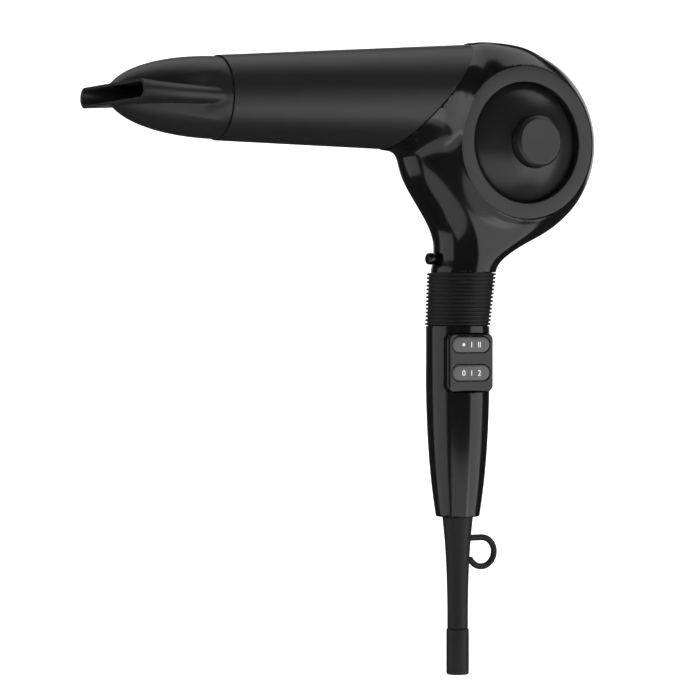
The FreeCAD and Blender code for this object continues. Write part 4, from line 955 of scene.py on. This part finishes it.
def boot_field(x, y, z):
    rho = np.hypot(x, y)
    t = np.clip((BOOT_TOP_Z - z) / BOOT_H, 0, 1)
    radius = BOOT_FOOT_R + (BOOT_TOP_R - 0.4 - BOOT_FOOT_R) * (1 - t) ** 2.6
    body = both(rho - radius, slab(z, (BOOT_TOP_Z + COLLAR_H) / 2, BOOT_H / 2), 1.2)
    bar = np.maximum(np.hypot(y, z - HOOK_Z - HOOK_R) - HOOK_WIRE_R, np.maximum(3 - x, x - HOOK_X))
    angle = np.degrees(np.arctan2(x - HOOK_X, z - HOOK_Z)) % 360
    ring = np.hypot(np.hypot(x - HOOK_X, z - HOOK_Z) - HOOK_R, y) - HOOK_WIRE_R
    end = math.radians(90 - HOOK_TURN)
    tip = np.sqrt((x - HOOK_X - HOOK_R * math.cos(end)) ** 2 + y ** 2
                  + (z - HOOK_Z - HOOK_R * math.sin(end)) ** 2) - HOOK_WIRE_R
    ring = np.minimum(np.where(angle <= HOOK_TURN, ring, 9), tip)
    whole = join(body, join(bar, ring, 0), 3.0)
    neck = np.maximum(rho - 7.1, slab(z, HANDLE_FOOT + 1, 2.4))
    flange = np.maximum(rho - 9.0, slab(z, HANDLE_FOOT + 3.35, 1.25))
    spigot = np.maximum(rho - 5.0, slab(z, COLLAR_H - 4.5, 5.5))
    whole = join(join(join(whole, neck), flange), spigot)
    return cut(whole, rho - CORD_R, 0)


BOOT_CELL = 0.62
boot = moulding("cord_boot", boot_field, (-10.6, -10.6, COLLAR_H - 11.3),
                (27.6, 10.6, HANDLE_FOOT + 6), BOOT_CELL)
dress(boot, "black_rubber", "body", "strain_relief_boot")

# %% [markdown]
# The collar is the thicker sleeve on the boot's end, turned like the rings.

# %% Turn the collar
collar_corners = [(CORD_R, 0, 0.4), (COLLAR_R, 0, 0.9), (COLLAR_R, COLLAR_H - 0.05, 0.8),
                  (5.05, COLLAR_H - 0.05), (5.05, COLLAR_H - 10.2), (CORD_R, COLLAR_H - 10.2)]
collar = turned("collar_sleeve", rounded_outline(collar_corners), (0, 0, 0), 2, 96)
dress(collar, "black_rubber", "body", "cord_collar")

# %% [markdown]
# ## Studio
# Gloss black shows its surroundings and little else, so the light is built for
# it: long soft boxes draw the bright lines along the barrel and the neck, and
# the rest of the room stays dark to reflections.  The floor is a wide pale
# dish that turns up at its rim, so no view meets an edge.

# %% Build the floor dish
FLOOR_Z, DISH_R, DISH_H = -0.90, 3.4, 3.6
DISH_FLAT, DISH_BEND, DISH_STEPS, DISH_SIDES = DISH_R * 0.55, DISH_R * 0.45, 12, 96


def stage_dish():
    outline = [(0.02, 0), (DISH_FLAT, 0)]
    for k in range(1, DISH_STEPS + 1):
        a = math.pi / 2 * k / DISH_STEPS
        outline.append((DISH_FLAT + DISH_BEND * math.sin(a), DISH_BEND * (1 - math.cos(a))))
    outline.append((DISH_R, DISH_H))
    mesh = bpy.data.meshes.new("studio_floor")
    shape = bmesh.new()
    rings = []
    for r, up in outline:
        rings.append([shape.verts.new((r * math.cos(a), r * math.sin(a), FLOOR_Z + up))
                      for a in np.linspace(0, 2 * math.pi, DISH_SIDES, endpoint=False)])
    for inner, outer in zip(rings, rings[1:]):
        for k in range(DISH_SIDES):
            after = (k + 1) % DISH_SIDES
            shape.faces.new((inner[k], outer[k], outer[after], inner[after]))
    shape.faces.new(rings[0])
    shape.to_mesh(mesh)
    shape.free()
    dish = bpy.data.objects.new("studio_floor", mesh)
    bpy.context.scene.collection.objects.link(dish)
    mesh.shade_smooth()
    mat = bpy.data.materials.new("studio_floor")
    mat.use_nodes = True
    shader = mat.node_tree.nodes["Principled BSDF"]
    shader.inputs["Base Color"].default_value = (0.90, 0.90, 0.90, 1)
    shader.inputs["Roughness"].default_value = 0.9
    shader.inputs["Emission Color"].default_value = (1, 1, 1, 1)
    shader.inputs["Emission Strength"].default_value = 0.55
    mesh.materials.append(mat)
    dish.visible_glossy = False


stage_dish()
print("floor dish", 2 * DISH_R, "m across")

# %% [markdown]
# Each light is a large soft box that looks at the dryer.  Its place is given
# as a turn and a lift from where the camera stands, because that is what
# decides where its reflection lies: one box at each side, a wide one below in
# front, one above and one behind.

# %% Place the soft boxes
TARGET = Vector((-0.04, 0.0, 0.22))
CAMERA_TURN = math.radians(28.0)


def around(turn, lift, distance):
    """Place that many degrees to the right of the camera's side, and that many up."""
    a, e = math.radians(turn) - CAMERA_TURN, math.radians(lift)
    return TARGET + Vector((math.sin(a) * math.cos(e), -math.cos(a) * math.cos(e), math.sin(e))) * distance


def soft_box(name, place, size, power):
    lamp = bpy.data.lights.new(name, "AREA")
    lamp.shape = "RECTANGLE"
    lamp.size, lamp.size_y = size
    lamp.energy = power
    holder = bpy.data.objects.new(name, lamp)
    holder.location = place
    aim = TARGET - place
    holder.rotation_euler = aim.to_track_quat("-Z", "Y").to_euler()
    holder.visible_camera = False
    bpy.context.scene.collection.objects.link(holder)


soft_box("right_box", around(74, -12, 1.35), (1.35, 1.30), 8.5)
soft_box("left_box", around(-74, -4, 1.35), (1.60, 1.30), 6.5)
soft_box("low_box", around(12, -38, 1.40), (2.30, 1.15), 8.5)
soft_box("top_box", around(176, 70, 1.30), (2.6, 1.05), 9.0)
soft_box("back_box", around(178, 12, 1.7), (2.2, 0.9), 5.0)
print("soft boxes:", len(bpy.data.lights))

# %% [markdown]
# A long lens from a good metre and a half away keeps the near and far sides
# nearly the same size, so the dryer looks as it does on a drawing.  The camera
# stands level, and a small shift, instead of a tilt, keeps upright lines upright.

# %% Set the dim room and the camera
world = bpy.data.worlds.new("studio_world")
bpy.context.scene.world = world
world.use_nodes = True
world.node_tree.nodes["Background"].inputs["Color"].default_value = (0.03, 0.03, 0.032, 1)
world.node_tree.nodes["Background"].inputs["Strength"].default_value = 1.0

camera_data = bpy.data.cameras.new("camera")
camera_data.sensor_width = 36.0
camera_data.lens = 149.1
camera_data.shift_y = -0.057
camera = bpy.data.objects.new("camera", camera_data)
camera.location = (-0.8302, -1.4307, 0.2075)
camera.rotation_euler = (math.pi / 2, 0, -CAMERA_TURN)
bpy.context.scene.collection.objects.link(camera)
bpy.context.scene.camera = camera
bpy.context.scene.view_settings.view_transform = "Standard"
print("camera", round((camera.location - TARGET).length, 2), "m away")
